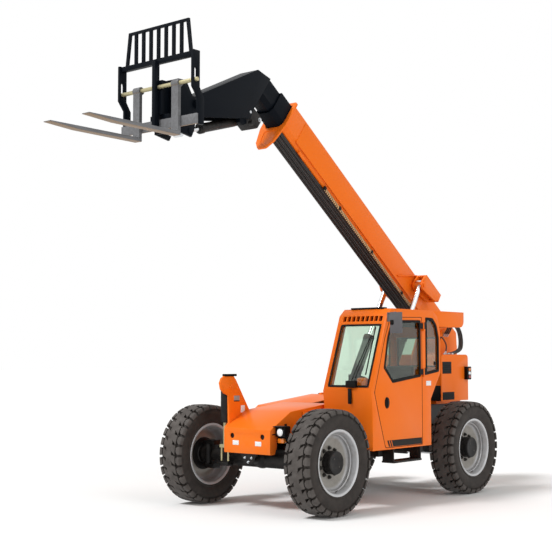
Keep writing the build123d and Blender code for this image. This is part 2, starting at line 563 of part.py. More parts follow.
def head():
    """Gooseneck: two side plates, top and rear plates, lugs for the tilt ram's base and the coupler's pin."""
    px, pz = HEAD_PIN
    bx, bz = TILT_BASE
    top, bottom = on_boom(SECTION_END - 5, 262), on_boom(SECTION_END - 5, -300)
    crest, brow = (px - 1155, pz + 638), (px - 139, pz + 155)
    solid = side_plate([top, crest, brow, (px + 10, pz + 78), (px + 80, pz), (px, pz - 80), (px - 153, pz - 124),
                        (px - 1010, pz - 5), bottom], (-HEAD_Y, HEAD_Y))
    solid -= side_plate([(top[0] + 40, top[1] - 60), (crest[0], crest[1] - 22), (brow[0], brow[1] - 22),
                         (px + 200, pz + 60), (px + 200, pz - 200), (px - 153, pz - 230), (px - 960, pz - 230),
                         (bottom[0] + 40, bottom[1] - 30)],
                        (20 - HEAD_Y, HEAD_Y - 20))
    lugs = both(side_plate([(bx - 70, bz + 200), (bx + 90, bz + 200), (bx + 60, bz - 30), (bx, bz - 60),
                            (bx - 60, bz - 30)], (60, HEAD_Y - 19)))
    return solid + lugs + cross_rod(bx, bz, (19 - HEAD_Y, HEAD_Y - 19), TILT_PIN_R)


SECTION_END = 5230.0          # the inner section's end, where the head is welded on
THIN = 10.0                   # wall of the two inner sections


def boom():
    """The three sections with the head, and the hose bundle clipped under the outer one."""
    save("boom_outer", BOOM * boom_outer())
    middle_mouth = BOOM_MOUTH + 240
    middle = section(STEP_IN, THIN, (350, middle_mouth))
    save("boom_middle", BOOM * (middle + wear_pads(STEP_IN, THIN, middle_mouth)))
    inset = STEP_IN + THIN + MOUTH_WEAR + FIT
    inner = section(inset, THIN, (600, SECTION_END))
    plug = BOOM * (box((SECTION_END - 130, SECTION_END + FIT), (inset - BOOM_Y, BOOM_Y - inset),
                       (BOOM_FLOOR + inset, BOOM_TOP - inset)))
    px, pz = HEAD_PIN
    neck = head() - plug - cross_rod(px, pz, (-200, 200), HEAD_PIN_R + FIT)
    save("boom_inner", BOOM * inner + neck)
    hoses = [rod((420, y, BOOM_FLOOR - FIT - r), (BOOM_MOUTH - 70, y, BOOM_FLOOR - FIT - r), r)
             for y, r in ((-92, 24), (-42, 22), (2, 18), (46, 22), (94, 20))]
    save("boom_hoses", BOOM * group(hoses))


# ---- rams -----------------------------------------------------------------------------------------------
def ram(base, eye, y, barrel_r, rod_r, base_r, base_pin, eye_r, pin, width, length, tail):
    """One ram in an (x, z) plane: barrel of a given length, and rod from its tail up to its eye and pin."""
    start, end = Vector(base[0], y, base[1]), Vector(eye[0], y, eye[1])
    way = (end - start).normalized()
    mouth = start + way * length
    across = (y - width / 2, y + width / 2)
    wide = (y - width, y + width)
    barrel = rod(start + way * (base_r * 0.7), mouth, barrel_r) + rod(mouth - way * 60, mouth, barrel_r + 8)
    barrel += cross_rod(*base, across, base_r)
    barrel -= rod(start + way * (base_r + 25), mouth + way * 5, rod_r + FIT)
    barrel -= cross_rod(*base, wide, base_pin + FIT)
    pin_r, pin_half = pin
    stem = rod(start + way * tail, end - way * (eye_r * 0.6), rod_r) + cross_rod(*eye, across, eye_r)
    return barrel, stem + cross_rod(*eye, (y - pin_half, y + pin_half), pin_r)


def rams():
    """The lift and tilt rams. Each rod carries its own eye pin, so that the linkage is open there."""
    lift_eye = on_boom(*LIFT_EYE)
    for side, sign in (("left", 1), ("right", -1)):
        barrel, stem = ram(LIFT_BASE, lift_eye, sign * LIFT_Y, barrel_r=72, rod_r=40, base_r=75, base_pin=29,
                           eye_r=62, pin=(32, LIFT_GAP - 5), width=90, length=1620, tail=905)
        save(f"lift_barrel_{side}", barrel)
        save(f"lift_rod_{side}", stem)
    barrel, stem = ram(TILT_BASE, TILT_EYE, 0.0, barrel_r=58, rod_r=30, base_r=55, base_pin=TILT_PIN_R, eye_r=55,
                       pin=(TILT_PIN_R, CHEEK_Y - 5), width=90, length=672, tail=390)
    save("tilt_barrel", barrel)
    save("tilt_rod", stem)


# ---- carriage -------------------------------------------------------------------------------------------
FACE = HEAD_PIN[0] + 415              # front of the carriage's uprights low down, and of the plate they carry
BACK = FACE - 110
SILL_DROP, RAIL_RISE = 350.0, 480.0   # the carriage's foot and top rail, below and above the head's pin
SILL, RAIL = HEAD_PIN[1] - SILL_DROP, HEAD_PIN[1] + RAIL_RISE
SHAFT = (FACE + 22, HEAD_PIN[1] + 145)
UPRIGHT_Y, UPRIGHT = 620.0, 32.0
UPRIGHT_STEP = 70.0                   # the uprights' upper part stands this much further forward
SLOT = 115.0                          # the fork shaft can rise this far in its slots
RACK, RACK_Y, BARS, BAR_PITCH = 390.0, 495.0, 7, 125.0
RAIL_PLATE = 118.0                    # height of the fork rail


def coupler():
    """Two cheek plates and a face plate, with the pins that the boom head and the tilt ram work on."""
    px, pz = HEAD_PIN
    ex, ez = TILT_EYE
    face = BACK - 15
    gap = CHEEK_Y
    cheeks = both(side_plate([(px - 60, pz + 60), (px + 60, pz + 90), (face - 130, pz + 250), (face, pz + 250),
                              (face, SILL - 10), (ex - 30, ez - 70), (ex - 70, ez + 10)], (gap, gap + 28)))
    plate = box((face - 30, face), (-gap - 28, gap + 28), (SILL - 10, pz + 250))
    plate += both(cross_rod(px, pz, (gap + 27, gap + 85), HEAD_PIN_R + 22))
    hub_pin = cross_rod(px, pz, (-gap - 28, gap + 28), HEAD_PIN_R)
    eye_pin = both(cross_rod(ex, ez, (gap + 27, gap + 40), TILT_PIN_R + 10))
    return cheeks + plate + hub_pin + eye_pin


def carriage_frame():
    """Stepped and slotted uprights, top rail and centre post, with the bar backrest above."""
    sx, sz = SHAFT
    inner = UPRIGHT_Y - UPRIGHT
    tall = RAIL - SILL
    low_kink, high_kink = SILL + 0.37 * tall, SILL + 0.5 * tall
    back, front = BACK, FACE - 15
    upright = side_plate([(back, SILL), (front, SILL), (front, low_kink), (front + UPRIGHT_STEP + 15, high_kink),
                          (front + UPRIGHT_STEP + 15, RAIL), (back + UPRIGHT_STEP, RAIL),
                          (back + UPRIGHT_STEP, high_kink), (back, low_kink)], (inner, UPRIGHT_Y))
    frame = both(upright)
    rail = (FACE - 20, FACE + 40)
    frame += box(rail, (-inner - 5, inner + 5), (RAIL - 62, RAIL - 4))
    frame += box((FACE + 12, SHAFT[0] + 62), (-25, 25), (SILL, RAIL - 30))
    frame += box((BACK - 15 + FIT, FACE - 15), (-150, 150), (SILL + 60, SILL + RAIL_PLATE + 62))
    frame += box((BACK - 15 + FIT, FACE + 14), (-70, 70), (SILL + RAIL_PLATE + 60, SILL + 575))
    rack_low, rack_top = RAIL - 10, RAIL + RACK
    x = (FACE - 8, FACE + 20)
    frame += [box(x, (y - 20, y + 20), (rack_low, rack_top))
              for y in [BAR_PITCH * (i - (BARS - 1) / 2) for i in range(BARS)]]
    frame += box(x, (-RACK_Y, RACK_Y), (rack_top - 32, rack_top))
    frame += both(cross_plate([(RACK_Y + 12, rack_low), (RACK_Y + 52, rack_low), (RACK_Y, rack_top),
                               (RACK_Y - 40, rack_top)], x))
    slot_r = SHAFT_R + PIN_FIT
    through = (inner - 5, UPRIGHT_Y + 5)
    frame -= both([box((sx - slot_r, sx + slot_r), through, (sz, sz + SLOT)), cross_rod(sx, sz + SLOT, through, slot_r)])
    return frame - cross_rod(sx, sz, (-UPRIGHT_Y - 80, UPRIGHT_Y + 80), slot_r)


def carriage():
    save("coupler", coupler())
    save("carriage_frame", carriage_frame())
    sx, sz = SHAFT
    save("fork_rail", box((FACE - 15, FACE + 10), (-UPRIGHT_Y, UPRIGHT_Y), (SILL, SILL + RAIL_PLATE)))
    save("fork_shaft", cross_rod(sx, sz, (-UPRIGHT_Y - 28, UPRIGHT_Y + 28), SHAFT_R))
    heel, tip, thick = FACE + 10 + FIT, SHAFT[0] + 1333, 45
    low = SILL - 102
    fork_y = (262, 372)
    blade = side_plate([(heel, low), (tip - 400, low + 5), (tip, low + thick - 12), (tip, low + thick - 5),
                        (tip - 12, low + thick), (heel + thick, low + thick), (heel + thick, sz),
                        (heel, sz)], fork_y)
    fork = blade + cross_rod(sx, sz, fork_y, 46) - cross_rod(sx, sz, (200, 440), SHAFT_R + PIN_FIT)
    save("fork_left", fork)
    save("fork_right", mirrored(fork))


save("main_frame", main_frame())
save("nose", nose())
save("sway_bracket", sway_bracket())
sway_cylinder()
rear_boxes()
save("counterweight", counterweight())
engine()
lamps()
cab()
axles()
wheels()
boom()
rams()
carriage()
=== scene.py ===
"""Looks of the rough-terrain telehandler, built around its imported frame.

Everything is in metres. X runs forward, Y to the machine's left and Z up, from the ground midway between
the four wheels. The sections follow the machine as it is put together, from its wheels to its forks.
"""
import json
import math

import bmesh
import bpy
from mathutils import Matrix, Vector


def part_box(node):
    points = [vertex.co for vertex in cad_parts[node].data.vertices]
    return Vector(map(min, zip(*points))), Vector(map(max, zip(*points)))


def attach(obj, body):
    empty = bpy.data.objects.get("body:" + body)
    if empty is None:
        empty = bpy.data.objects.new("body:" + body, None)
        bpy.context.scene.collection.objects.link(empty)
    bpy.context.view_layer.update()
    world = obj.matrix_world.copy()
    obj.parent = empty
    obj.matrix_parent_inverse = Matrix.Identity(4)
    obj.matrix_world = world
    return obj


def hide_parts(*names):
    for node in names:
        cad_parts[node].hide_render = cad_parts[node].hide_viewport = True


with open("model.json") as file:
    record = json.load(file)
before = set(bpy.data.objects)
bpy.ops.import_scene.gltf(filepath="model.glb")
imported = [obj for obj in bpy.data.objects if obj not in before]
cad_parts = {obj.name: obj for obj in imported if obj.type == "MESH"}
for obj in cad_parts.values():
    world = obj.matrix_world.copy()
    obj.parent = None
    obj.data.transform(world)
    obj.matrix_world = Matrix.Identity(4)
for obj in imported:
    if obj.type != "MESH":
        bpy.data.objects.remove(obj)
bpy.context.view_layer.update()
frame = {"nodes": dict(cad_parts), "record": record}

# ---- studio -------------------------------------------------------------------------------------------
# A pale studio: a white floor with no edge in sight, an even sky, a broad soft key lamp above the machine's
# front and a weaker, softer one on its left, as for a sales picture.
scene = bpy.context.scene
scene.view_settings.view_transform = "Standard"


def tone(code):
    """A hex colour as the eye reads it, turned to the linear values that light works in."""
    parts = [int(code[i:i + 2], 16) / 255 for i in (1, 3, 5)]
    return (*[c / 12.92 if c <= 0.04045 else ((c + 0.055) / 1.055) ** 2.4 for c in parts], 1.0)


def node(tree, kind, sockets=None, **settings):
    """Adds one node with its settings. A socket takes a value, a socket, or a node's first output in use.

    A Mix of colours takes its share at socket 0 and its two colours at 6 and 7.
    """
    made = tree.nodes.new("ShaderNode" + kind)
    for key, value in settings.items():
        setattr(made, key, value)
    for key, value in (sockets or {}).items():
        if isinstance(value, bpy.types.Node):
            value = next(output for output in value.outputs if output.enabled)
        if isinstance(value, bpy.types.NodeSocket):
            tree.links.new(value, made.inputs[key])
        else:
            made.inputs[key].default_value = value
    return made


world = bpy.data.worlds.new("studio_air")
scene.world = world
world.use_nodes = True
air = world.node_tree
air.nodes.clear()
path = node(air, "LightPath")
straight = node(air, "Math", {0: path.outputs["Is Camera Ray"], 1: path.outputs["Is Glossy Ray"]},
                operation="ADD")
straight = node(air, "Math", {0: straight, 1: path.outputs["Is Transmission Ray"]}, operation="ADD",
                use_clamp=True)
soft_air = node(air, "Background", {"Color": tone("#FFFEFA"), "Strength": 0.52})
white_air = node(air, "Background", {"Color": (1, 1, 1, 1), "Strength": 1.0})
mixed_air = node(air, "MixShader", {0: straight, 1: soft_air, 2: white_air})
node(air, "OutputWorld", {"Surface": mixed_air})

for lamp_name, strength, spread, turn in (("key_sun", 2.1, 14, (38, 8, 62)),
                                          ("fill_sun", 0.7, 40, (62, 0, 175))):
    lamp = bpy.data.objects.new(lamp_name, bpy.data.lights.new(lamp_name, "SUN"))
    lamp.data.energy = strength
    lamp.data.angle = math.radians(spread)
    lamp.rotation_euler = [math.radians(a) for a in turn]
    scene.collection.objects.link(lamp)

floor_mesh = bmesh.new()
bmesh.ops.create_grid(floor_mesh, x_segments=1, y_segments=1, size=120)
floor_data = bpy.data.meshes.new("floor")
floor_mesh.to_mesh(floor_data)
floor_mesh.free()
floor = bpy.data.objects.new("floor", floor_data)
scene.collection.objects.link(floor)

paper = bpy.data.materials.new("matt_white_studio_paper")
paper.use_nodes = True
paper_tree = paper.node_tree
paper_tree.nodes.clear()
sheet_light = node(paper_tree, "BsdfDiffuse", {"Color": (0.93, 0.93, 0.935, 1)})
sheet_glow = node(paper_tree, "Emission", {"Color": (1, 1, 1, 1), "Strength": 1.0})
# Seen in glass and metal the sheet is as white as the air above it; seen straight it keeps its shadow.
paper_path = node(paper_tree, "LightPath")
in_metal = node(paper_tree, "Math", {0: paper_path.outputs["Is Glossy Ray"],
                                     1: paper_path.outputs["Is Transmission Ray"]}, operation="ADD",
                use_clamp=True)
share = node(paper_tree, "Math", {0: in_metal, 1: 0.5}, operation="MULTIPLY")
sheet = node(paper_tree, "MixShader", {0: share, 1: sheet_light, 2: sheet_glow})
node(paper_tree, "OutputMaterial", {"Surface": sheet})
floor.data.materials.append(paper)

camera = bpy.data.objects.new("camera", bpy.data.cameras.new("camera"))
scene.collection.objects.link(camera)
scene.camera = camera
camera.location = (12.4196, 9.4151, 1.8853)
heading, rise = math.radians(220.24), math.radians(4.047)
looks = Vector((math.cos(heading) * math.cos(rise), math.sin(heading) * math.cos(rise), math.sin(rise)))
camera.rotation_euler = looks.to_track_quat("-Z", "Y").to_euler()
camera.data.sensor_width = 36
camera.data.lens = 74.57
camera.data.clip_end = 400


# ---- tyres --------------------------------------------------------------------------------------------
# Cross-ply industrial tyres of natural and carbon-black rubber, press moulded: a smooth bulging side wall, a
# row of Z-shaped bars round the middle and a row of shield-shaped blocks on each shoulder, half a pitch on.
# Their faces are grey with yard dust.
def piece(name, mesh, body, mat, stands_for=(), smooth=35.0):
    """Turns finished mesh work into a named piece of one material that rides on a body."""
    data = bpy.data.meshes.new(name)
    mesh.normal_update()
    mesh.to_mesh(data)
    mesh.free()
    data.materials.append(mat)
    for face in data.polygons:
        face.use_smooth = True
    data.set_sharp_from_angle(angle=math.radians(smooth))
    made = bpy.data.objects.new(name, data)
    scene.collection.objects.link(made)
    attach(made, body)
    if stands_for:
        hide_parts(*stands_for)
    return made


def spun(mesh, outline, steps):
    """Spins a closed outline of (radius, y) points right round the Y axis, with its faces outwards."""
    points = [mesh.verts.new((r, y, 0)) for r, y in outline]
    edges = [mesh.edges.new(pair) for pair in zip(points, points[1:] + points[:1])]
    bmesh.ops.spin(mesh, geom=points + edges, cent=(0, 0, 0), axis=(0, 1, 0), angle=math.tau, steps=steps,
                   use_merge=True)
    bmesh.ops.remove_doubles(mesh, verts=mesh.verts, dist=0.0001)
    bmesh.ops.recalc_face_normals(mesh, faces=mesh.faces)


AXLE_X, WHEEL_Y, AXLE_Z = 1.55, 1.03, 0.635
TYRE_TIP, PITCHES = 0.634, 30
wheel_middles = {}
for end, x in (("front", AXLE_X), ("rear", -AXLE_X)):
    for side, y in (("left", WHEEL_Y), ("right", -WHEEL_Y)):
        wheel_middles[f"{end}_{side}"] = Vector((x, y, AXLE_Z))

tyre_mesh = bmesh.new()
wall = [(0.400, 0.159), (0.412, 0.163), (0.424, 0.159), (0.440, 0.166), (0.475, 0.1755), (0.510, 0.1795),
        (0.540, 0.178), (0.562, 0.173), (0.578, 0.163), (0.590, 0.140), (0.598, 0.100), (0.602, 0.050)]
section = wall + [(0.603, 0.0)] + [(r, -y) for r, y in reversed(wall)]
spun(tyre_mesh, section + [(0.386, -0.150), (0.374, -0.140), (0.374, 0.140), (0.386, 0.150)], 120)

PITCH = math.tau * TYRE_TIP / PITCHES
# Each pitch of the tread is a Z-shaped bar across the middle and a shield-shaped block on each shoulder,
# half a pitch on. A line gives the middle of the groove between them as (along the tread, across it). Past
# its flat half the tread turns down the shoulder.
bar_line = [(0.056, -0.104), (0.040, -0.050), (0.000, -0.034), (0.000, 0.034), (-0.040, 0.050),
            (-0.056, 0.104)]
block_line = [(-0.050, 0.120), (-0.058, 0.150), (-0.058, 0.212)]
FLAT_HALF = 0.160


def drawn_out(mesh, way):
    """Draws a flat shape out into a solid."""
    up = bmesh.ops.extrude_face_region(mesh, geom=mesh.faces[:])
    bmesh.ops.translate(mesh, vec=way, verts=[v for v in up["geom"] if isinstance(v, bmesh.types.BMVert)])
    bmesh.ops.recalc_face_normals(mesh, faces=mesh.faces)


def tread_form(line, gap, chamfer):
    """One flat bar or block: the band between a line and its copy a pitch on, less the groove."""
    mesh = bmesh.new()
    corners = [(s + gap / 2, y) for s, y in line] + [(s + PITCH - gap / 2, y) for s, y in reversed(line)]
    bmesh.ops.contextual_create(mesh, geom=[mesh.verts.new((s, y, 0)) for s, y in corners])
    if chamfer:
        inner = [v for v in mesh.verts if v.co.y < line[0][1] + 0.001]
        bmesh.ops.bevel(mesh, geom=inner, offset=chamfer, offset_type="OFFSET", segments=1, profile=0.5,
                        affect="VERTICES", material=-1)
    drawn_out(mesh, (0, 0, 1))
    across = [e for e in mesh.edges if min(v.co.z for v in e.verts) > 0.5]
    bmesh.ops.bevel(mesh, geom=across, offset=0.004, offset_type="OFFSET", segments=1, profile=0.5,
                    affect="EDGES", material=-1, clamp_overlap=True)
    cuts = [((step * 0.03, 0, 0), (1, 0, 0)) for step in range(-2, 7)]
    cuts += [((0, FLAT_HALF + step * 0.010, 0), (0, 1, 0)) for step in range(6)]
    for middle, way in cuts:
        bmesh.ops.bisect_plane(mesh, geom=mesh.verts[:] + mesh.edges[:] + mesh.faces[:], dist=0.0001,
                               plane_co=middle, plane_no=way)
    return mesh


def wrap(mesh):
    """Lays flat blocks round the tyre's crown, and past its flat half down its shoulder."""
    for v in mesh.verts:
        s, y, up_share = v.co
        flat, over = min(abs(y), FLAT_HALF), max(0.0, abs(y) - FLAT_HALF)
        bend = min(over / 0.050, 1.0) * math.pi / 2
        top = TYRE_TIP - 0.008 * (flat / FLAT_HALF) ** 2 - 0.056 * (1 - math.cos(bend))
        low = 0.592 - 0.030 * math.sin(bend)
        radius = low + (top - low) * up_share
        reach = flat + (0.0248 * up_share - 0.010 * (1 - up_share)) * math.sin(bend)
        angle = s / TYRE_TIP
        v.co = Vector((radius * math.sin(angle), math.copysign(reach, y), radius * math.cos(angle)))


blocks_mesh = bmesh.new()
for line, gap, chamfer in ((bar_line, 0.021, 0.0), (block_line, 0.034, 0.026)):
    form = tread_form(line, gap, chamfer)
    form_data = bpy.data.meshes.new("tread_form")
    form.to_mesh(form_data)
    blocks_mesh.from_mesh(form_data)
    if chamfer:
        # The other shoulder's block is the same one turned half round, as the pattern has no forward side.
        bmesh.ops.rotate(form, cent=(0, 0, 0), matrix=Matrix.Rotation(math.pi, 3, "Z"), verts=form.verts)
        bmesh.ops.translate(form, vec=(PITCH, 0, 0), verts=form.verts)
        form.to_mesh(form_data)
        blocks_mesh.from_mesh(form_data)
    form.free()
wrap(blocks_mesh)
bmesh.ops.spin(blocks_mesh, geom=blocks_mesh.verts[:] + blocks_mesh.edges[:] + blocks_mesh.faces[:],
               cent=(0, 0, 0), axis=(0, 1, 0), angle=math.tau * (PITCHES - 1) / PITCHES, steps=PITCHES - 1,
               use_duplicate=True)
dust_and_groove_shade_layer = tyre_mesh.verts.layers.float.new("dust_and_groove_shade")
block_data = bpy.data.meshes.new("tread_blocks")
blocks_mesh.to_mesh(block_data)
blocks_mesh.free()
tyre_mesh.from_mesh(block_data)
# The tops of the blocks are marked for their dust; the rest of the tread keeps the wall's dark colour, which
# stands as painted shade in the grooves.
for v in tyre_mesh.verts:
    depth = TYRE_TIP - math.hypot(v.co.x, v.co.z)
    v[dust_and_groove_shade_layer] = 1.0 if depth < 0.014 or (depth < 0.05 and abs(v.co.y) > 0.170) else 0.0


def material(name):
    """A new material with an empty tree, and the place on its piece that its patterns read.
    """
    made = bpy.data.materials.new(name)
    made.use_nodes = True
    made.node_tree.nodes.clear()
    return made, made.node_tree, node(made.node_tree, "TexCoord").outputs["Object"]


def finish(tree, sockets):
    """The surface that a material's patterns feed."""
    node(tree, "OutputMaterial", {"Surface": node(tree, "BsdfPrincipled", sockets)})


def pitted(tree, here, scale, detail, strength, depth, rough=0.55):
    """A cloudy pattern raised by a depth: the pores, pits, ripple or grain of a surface."""
    grain = node(tree, "TexNoise", {"Vector": here, "Scale": scale, "Detail": detail, "Roughness": rough})
    return node(tree, "Bump", {"Height": grain, "Strength": strength, "Distance": depth})


# Moulded carbon-black rubber: brown-black and smooth on the wall, grey on the faces of the blocks, which yard
# dust and scuffing have dulled in blotches of about 110 mm, and brown-black down in the grooves, where the
# wall's dark colour is painted shade.
rubber, tree, here = material("moulded_carbon_black_rubber")
lumps = node(tree, "TexNoise", {"Vector": here, "Scale": 9, "Detail": 6, "Roughness": 0.65})
dust = node(tree, "MapRange", {"Value": lumps, "From Min": 0.36, "From Max": 0.70})
wall_and_groove_shade_colour = node(tree, "Mix", {0: dust, 6: tone("#2A2522"), 7: tone("#3A3430")}, data_type="RGBA")
face_colour = node(tree, "Mix", {0: dust, 6: tone("#443F3C"), 7: tone("#5A5552")}, data_type="RGBA")
top_face = node(tree, "Attribute", attribute_name="dust_and_groove_shade").outputs["Fac"]
colour = node(tree, "Mix", {0: top_face, 6: wall_and_groove_shade_colour, 7: face_colour}, data_type="RGBA")
finish(tree, {"Base Color": colour, "Roughness": 0.68, "IOR": 1.5, "Specular IOR Level": 0.28,
              "Normal": pitted(tree, here, 160, 3, 0.3, 0.002)})


def to_wheel(mesh, middle):
    """Moves a wheel's part out to its own wheel, turned over on the right-hand side."""
    if middle.y < 0:
        bmesh.ops.scale(mesh, vec=(1, -1, 1), verts=mesh.verts)
        bmesh.ops.reverse_faces(mesh, faces=mesh.faces)
    bmesh.ops.translate(mesh, vec=middle, verts=mesh.verts)


# The rear wheels stand a little further round than the front ones, so the treads don't line up.
for corner, middle in wheel_middles.items():
    copy = tyre_mesh.copy()
    bmesh.ops.rotate(copy, cent=(0, 0, 0), matrix=Matrix.Rotation(0.09 if "rear" in corner else 0.0, 3, "Y"),
                     verts=copy.verts)
    to_wheel(copy, middle)
    piece(f"tyre_{corner}_moulded", copy, f"{corner}_wheel", rubber, [f"tyre_{corner}"], 28)
tyre_mesh.free()

# ---- rims and hubs ------------------------------------------------------------------------------------
# Rolled steel rims, sprayed silver: a curled lip, a deep stepped well and a flat disc held by ten nuts.
# The planetary hub through the middle is a black iron casting with a cover.
rim_mesh = bmesh.new()
rim_outline = [(0.372, -0.150), (0.384, -0.153), (0.396, -0.158), (0.392, -0.163), (0.380, -0.157),
               (0.360, -0.150), (0.352, -0.125), (0.346, -0.118), (0.338, -0.070), (0.334, -0.020),
               (0.320, 0.002), (0.262, -0.004), (0.236, -0.012), (0.205, -0.0055), (0.150, -0.0055),
               (0.1396, -0.0055), (0.1396, 0.0115), (0.230, 0.0115), (0.262, 0.020), (0.300, 0.034),
               (0.318, 0.040), (0.326, 0.052), (0.329, 0.078), (0.341, 0.086), (0.346, 0.118),
               (0.354, 0.128), (0.359, 0.146), (0.366, 0.154), (0.380, 0.158), (0.390, 0.163),
               (0.3955, 0.160), (0.3945, 0.155), (0.384, 0.152), (0.372, 0.150)]
spun(rim_mesh, rim_outline, 96)

# Silver wheel enamel: metal flake in grey lacquer, satin, grimed brown on the flat disc, with a painted
# highlight of pale silver round the curled lip.
silver, tree, here = material("sprayed_silver_wheel_enamel")
lumps = node(tree, "TexNoise", {"Vector": here, "Scale": 7, "Detail": 6, "Roughness": 0.7})
grime = node(tree, "MapRange", {"Value": lumps, "From Min": 0.45, "From Max": 0.75})
spot = node(tree, "SeparateXYZ", {0: here})
along = node(tree, "Math", {0: spot.outputs[0]}, operation="ABSOLUTE")
along = node(tree, "Math", {0: along, 1: AXLE_X}, operation="SUBTRACT")
above = node(tree, "Math", {0: spot.outputs[2], 1: AXLE_Z}, operation="SUBTRACT")
from_axle = node(tree, "VectorMath", {0: node(tree, "CombineXYZ", {0: along, 1: above})}, operation="LENGTH")
flat_disc = node(tree, "Mix", {0: grime, 6: tone("#8E8A83"), 7: tone("#77716A")}, data_type="RGBA")
well = node(tree, "Mix", {0: grime, 6: tone("#A6A6A8"), 7: tone("#8C8986")}, data_type="RGBA")
past_disc = node(tree, "MapRange", {"Value": from_axle, "From Min": 0.285, "From Max": 0.315})
# A painted highlight: a ring of pale silver round the curled lip.
lip_highlight_ring = node(tree, "MapRange", {"Value": from_axle, "From Min": 0.366, "From Max": 0.376})
colour = node(tree, "Mix", {0: past_disc, 6: flat_disc, 7: well}, data_type="RGBA")
colour = node(tree, "Mix", {0: lip_highlight_ring, 6: colour, 7: tone("#C2C3C5")}, data_type="RGBA")
finish(tree, {"Base Color": colour, "Metallic": 0.25, "Roughness": 0.40, "Coat Weight": 0.25,
              "Coat Roughness": 0.2, "Normal": pitted(tree, here, 420, 2, 0.12, 0.001)})


def mottled(tree, here, scale, detail, first, second, spread=None, rough=0.55):
    """Two tones in cloudy patches; a spread narrows the part of the cloud over which they blend."""
    cloud = node(tree, "TexNoise", {"Vector": here, "Scale": scale, "Detail": detail, "Roughness": rough})
    if spread:
        cloud = node(tree, "MapRange", {"Value": cloud, "From Min": spread[0], "From Max": spread[1]})
    return node(tree, "Mix", {0: cloud, 6: tone(first), 7: tone(second)}, data_type="RGBA")


# Sand-cast iron under black enamel: soft pitting of about 4 mm, satin, with dull dust on it.
cast_black, tree, here = material("black_enamel_on_sand_cast_iron")
finish(tree, {"Base Color": mottled(tree, here, 11, 5, "#110F0F", "#2C2825", (0.45, 0.8)), "Roughness": 0.5,
              "Specular IOR Level": 0.25, "Normal": pitted(tree, here, 260, 4, 0.4, 0.0015, 0.6)})

# Black phosphate on forged steel: nuts, studs and pin heads, dark grey with a dull metal sheen.
forged, tree, here = material("black_phosphated_forged_steel")
finish(tree, {"Base Color": mottled(tree, here, 90, 3, "#3B3A39", "#57544F"), "Metallic": 0.7,
              "Roughness": 0.42})

# Bright zinc on bolts and fittings: pale blue-grey metal with a soft crystal mottling.
zinc_bright, tree, here = material("bright_zinc_plated_steel")
finish(tree, {"Base Color": mottled(tree, here, 140, 2, "#B8BCC0", "#D6D8DA"), "Metallic": 1.0,
              "Roughness": 0.3})


def stub(mesh, at, way, radius1, radius2, depth, sides, lift=0.0):
    """Adds a short round or many-sided stub about a point, or lifted off it the way it faces."""
    place = Matrix.Translation(at) @ Vector(way).normalized().to_track_quat("Z", "Y").to_matrix().to_4x4()
    bmesh.ops.create_cone(mesh, cap_ends=True, segments=sides, radius1=radius1, radius2=radius2, depth=depth,
                          matrix=place @ Matrix.Translation((0, 0, lift)))


def bolt_head(mesh, at, way, radius, height, washer=True):
    """A six-sided head with its washer, standing on a face whose outward direction is given."""
    thick = height * 0.25 if washer else 0.0
    if washer:
        stub(mesh, at, way, radius * 1.45, radius * 1.4, thick, 16, thick / 2)
    stub(mesh, at, way, radius * 1.1, radius * 0.98, height, 6, thick + height / 2)


NUTS, NUT_CIRCLE = 10, 0.173
for corner, middle in wheel_middles.items():
    out, wheel = (1 if middle.y > 0 else -1), f"{corner}_wheel"
    copy = rim_mesh.copy()
    to_wheel(copy, middle)
    piece(f"rim_{corner}_rolled", copy, wheel, silver, [f"rim_{corner}"], 40)

    hub = bmesh.new()
    spun(hub, [(0.0005, -0.036), (0.118, -0.036), (0.128, -0.026), (0.205, -0.026), (0.205, -0.008),
               (0.1385, -0.008), (0.1385, 0.060), (0.1365, 0.064), (0.1365, 0.068), (0.1385, 0.072),
               (0.1385, 0.120), (0.136, 0.1255), (0.131, 0.128), (0.112, 0.128), (0.108, 0.1265),
               (0.0005, 0.1265)], 64)
    to_wheel(hub, middle)
    piece(f"hub_{corner}_cast", hub, wheel, cast_black, [f"hub_{corner}"], 30)

    # Nuts with their studs' ends, and two flush plugs in the hub's cover.
    nuts = bmesh.new()
    for index in range(NUTS):
        angle = index * math.tau / NUTS
        at = middle + Vector((NUT_CIRCLE * math.sin(angle), 0.012 * out, NUT_CIRCLE * math.cos(angle)))
        bolt_head(nuts, at, (0, out, 0), 0.0185, 0.020)
        stub(nuts, at + Vector((0, 0.028 * out, 0)), (0, out, 0), 0.0105, 0.009, 0.014, 12)
    for index in range(2):
        angle = (index + 0.25) * math.pi
        at = middle + Vector((0.07 * math.sin(angle), 0.1262 * out, 0.07 * math.cos(angle)))
        bolt_head(nuts, at, (0, out, 0), 0.010, 0.003, False)
    piece(f"wheel_nuts_{corner}", nuts, wheel, forged)

    stem = bmesh.new()
    foot = middle + Vector((0.0, 0.118 * out, -0.335))
    bmesh.ops.create_cone(stem, cap_ends=True, segments=12, radius1=0.006, radius2=0.005, depth=0.05,
                          matrix=Matrix.Translation(foot) @ Matrix.Rotation(math.radians(-60 * out), 4, "X"))
    piece(f"valve_stem_{corner}", stem, wheel, rubber)
rim_mesh.free()

# ---- axles, knuckles and steering ---------------------------------------------------------------------
# Cast axle housings with forged knuckles, brushed over with black enamel; the steering bars are ground,
# chromed rod that shows its bright end each side of the ram.


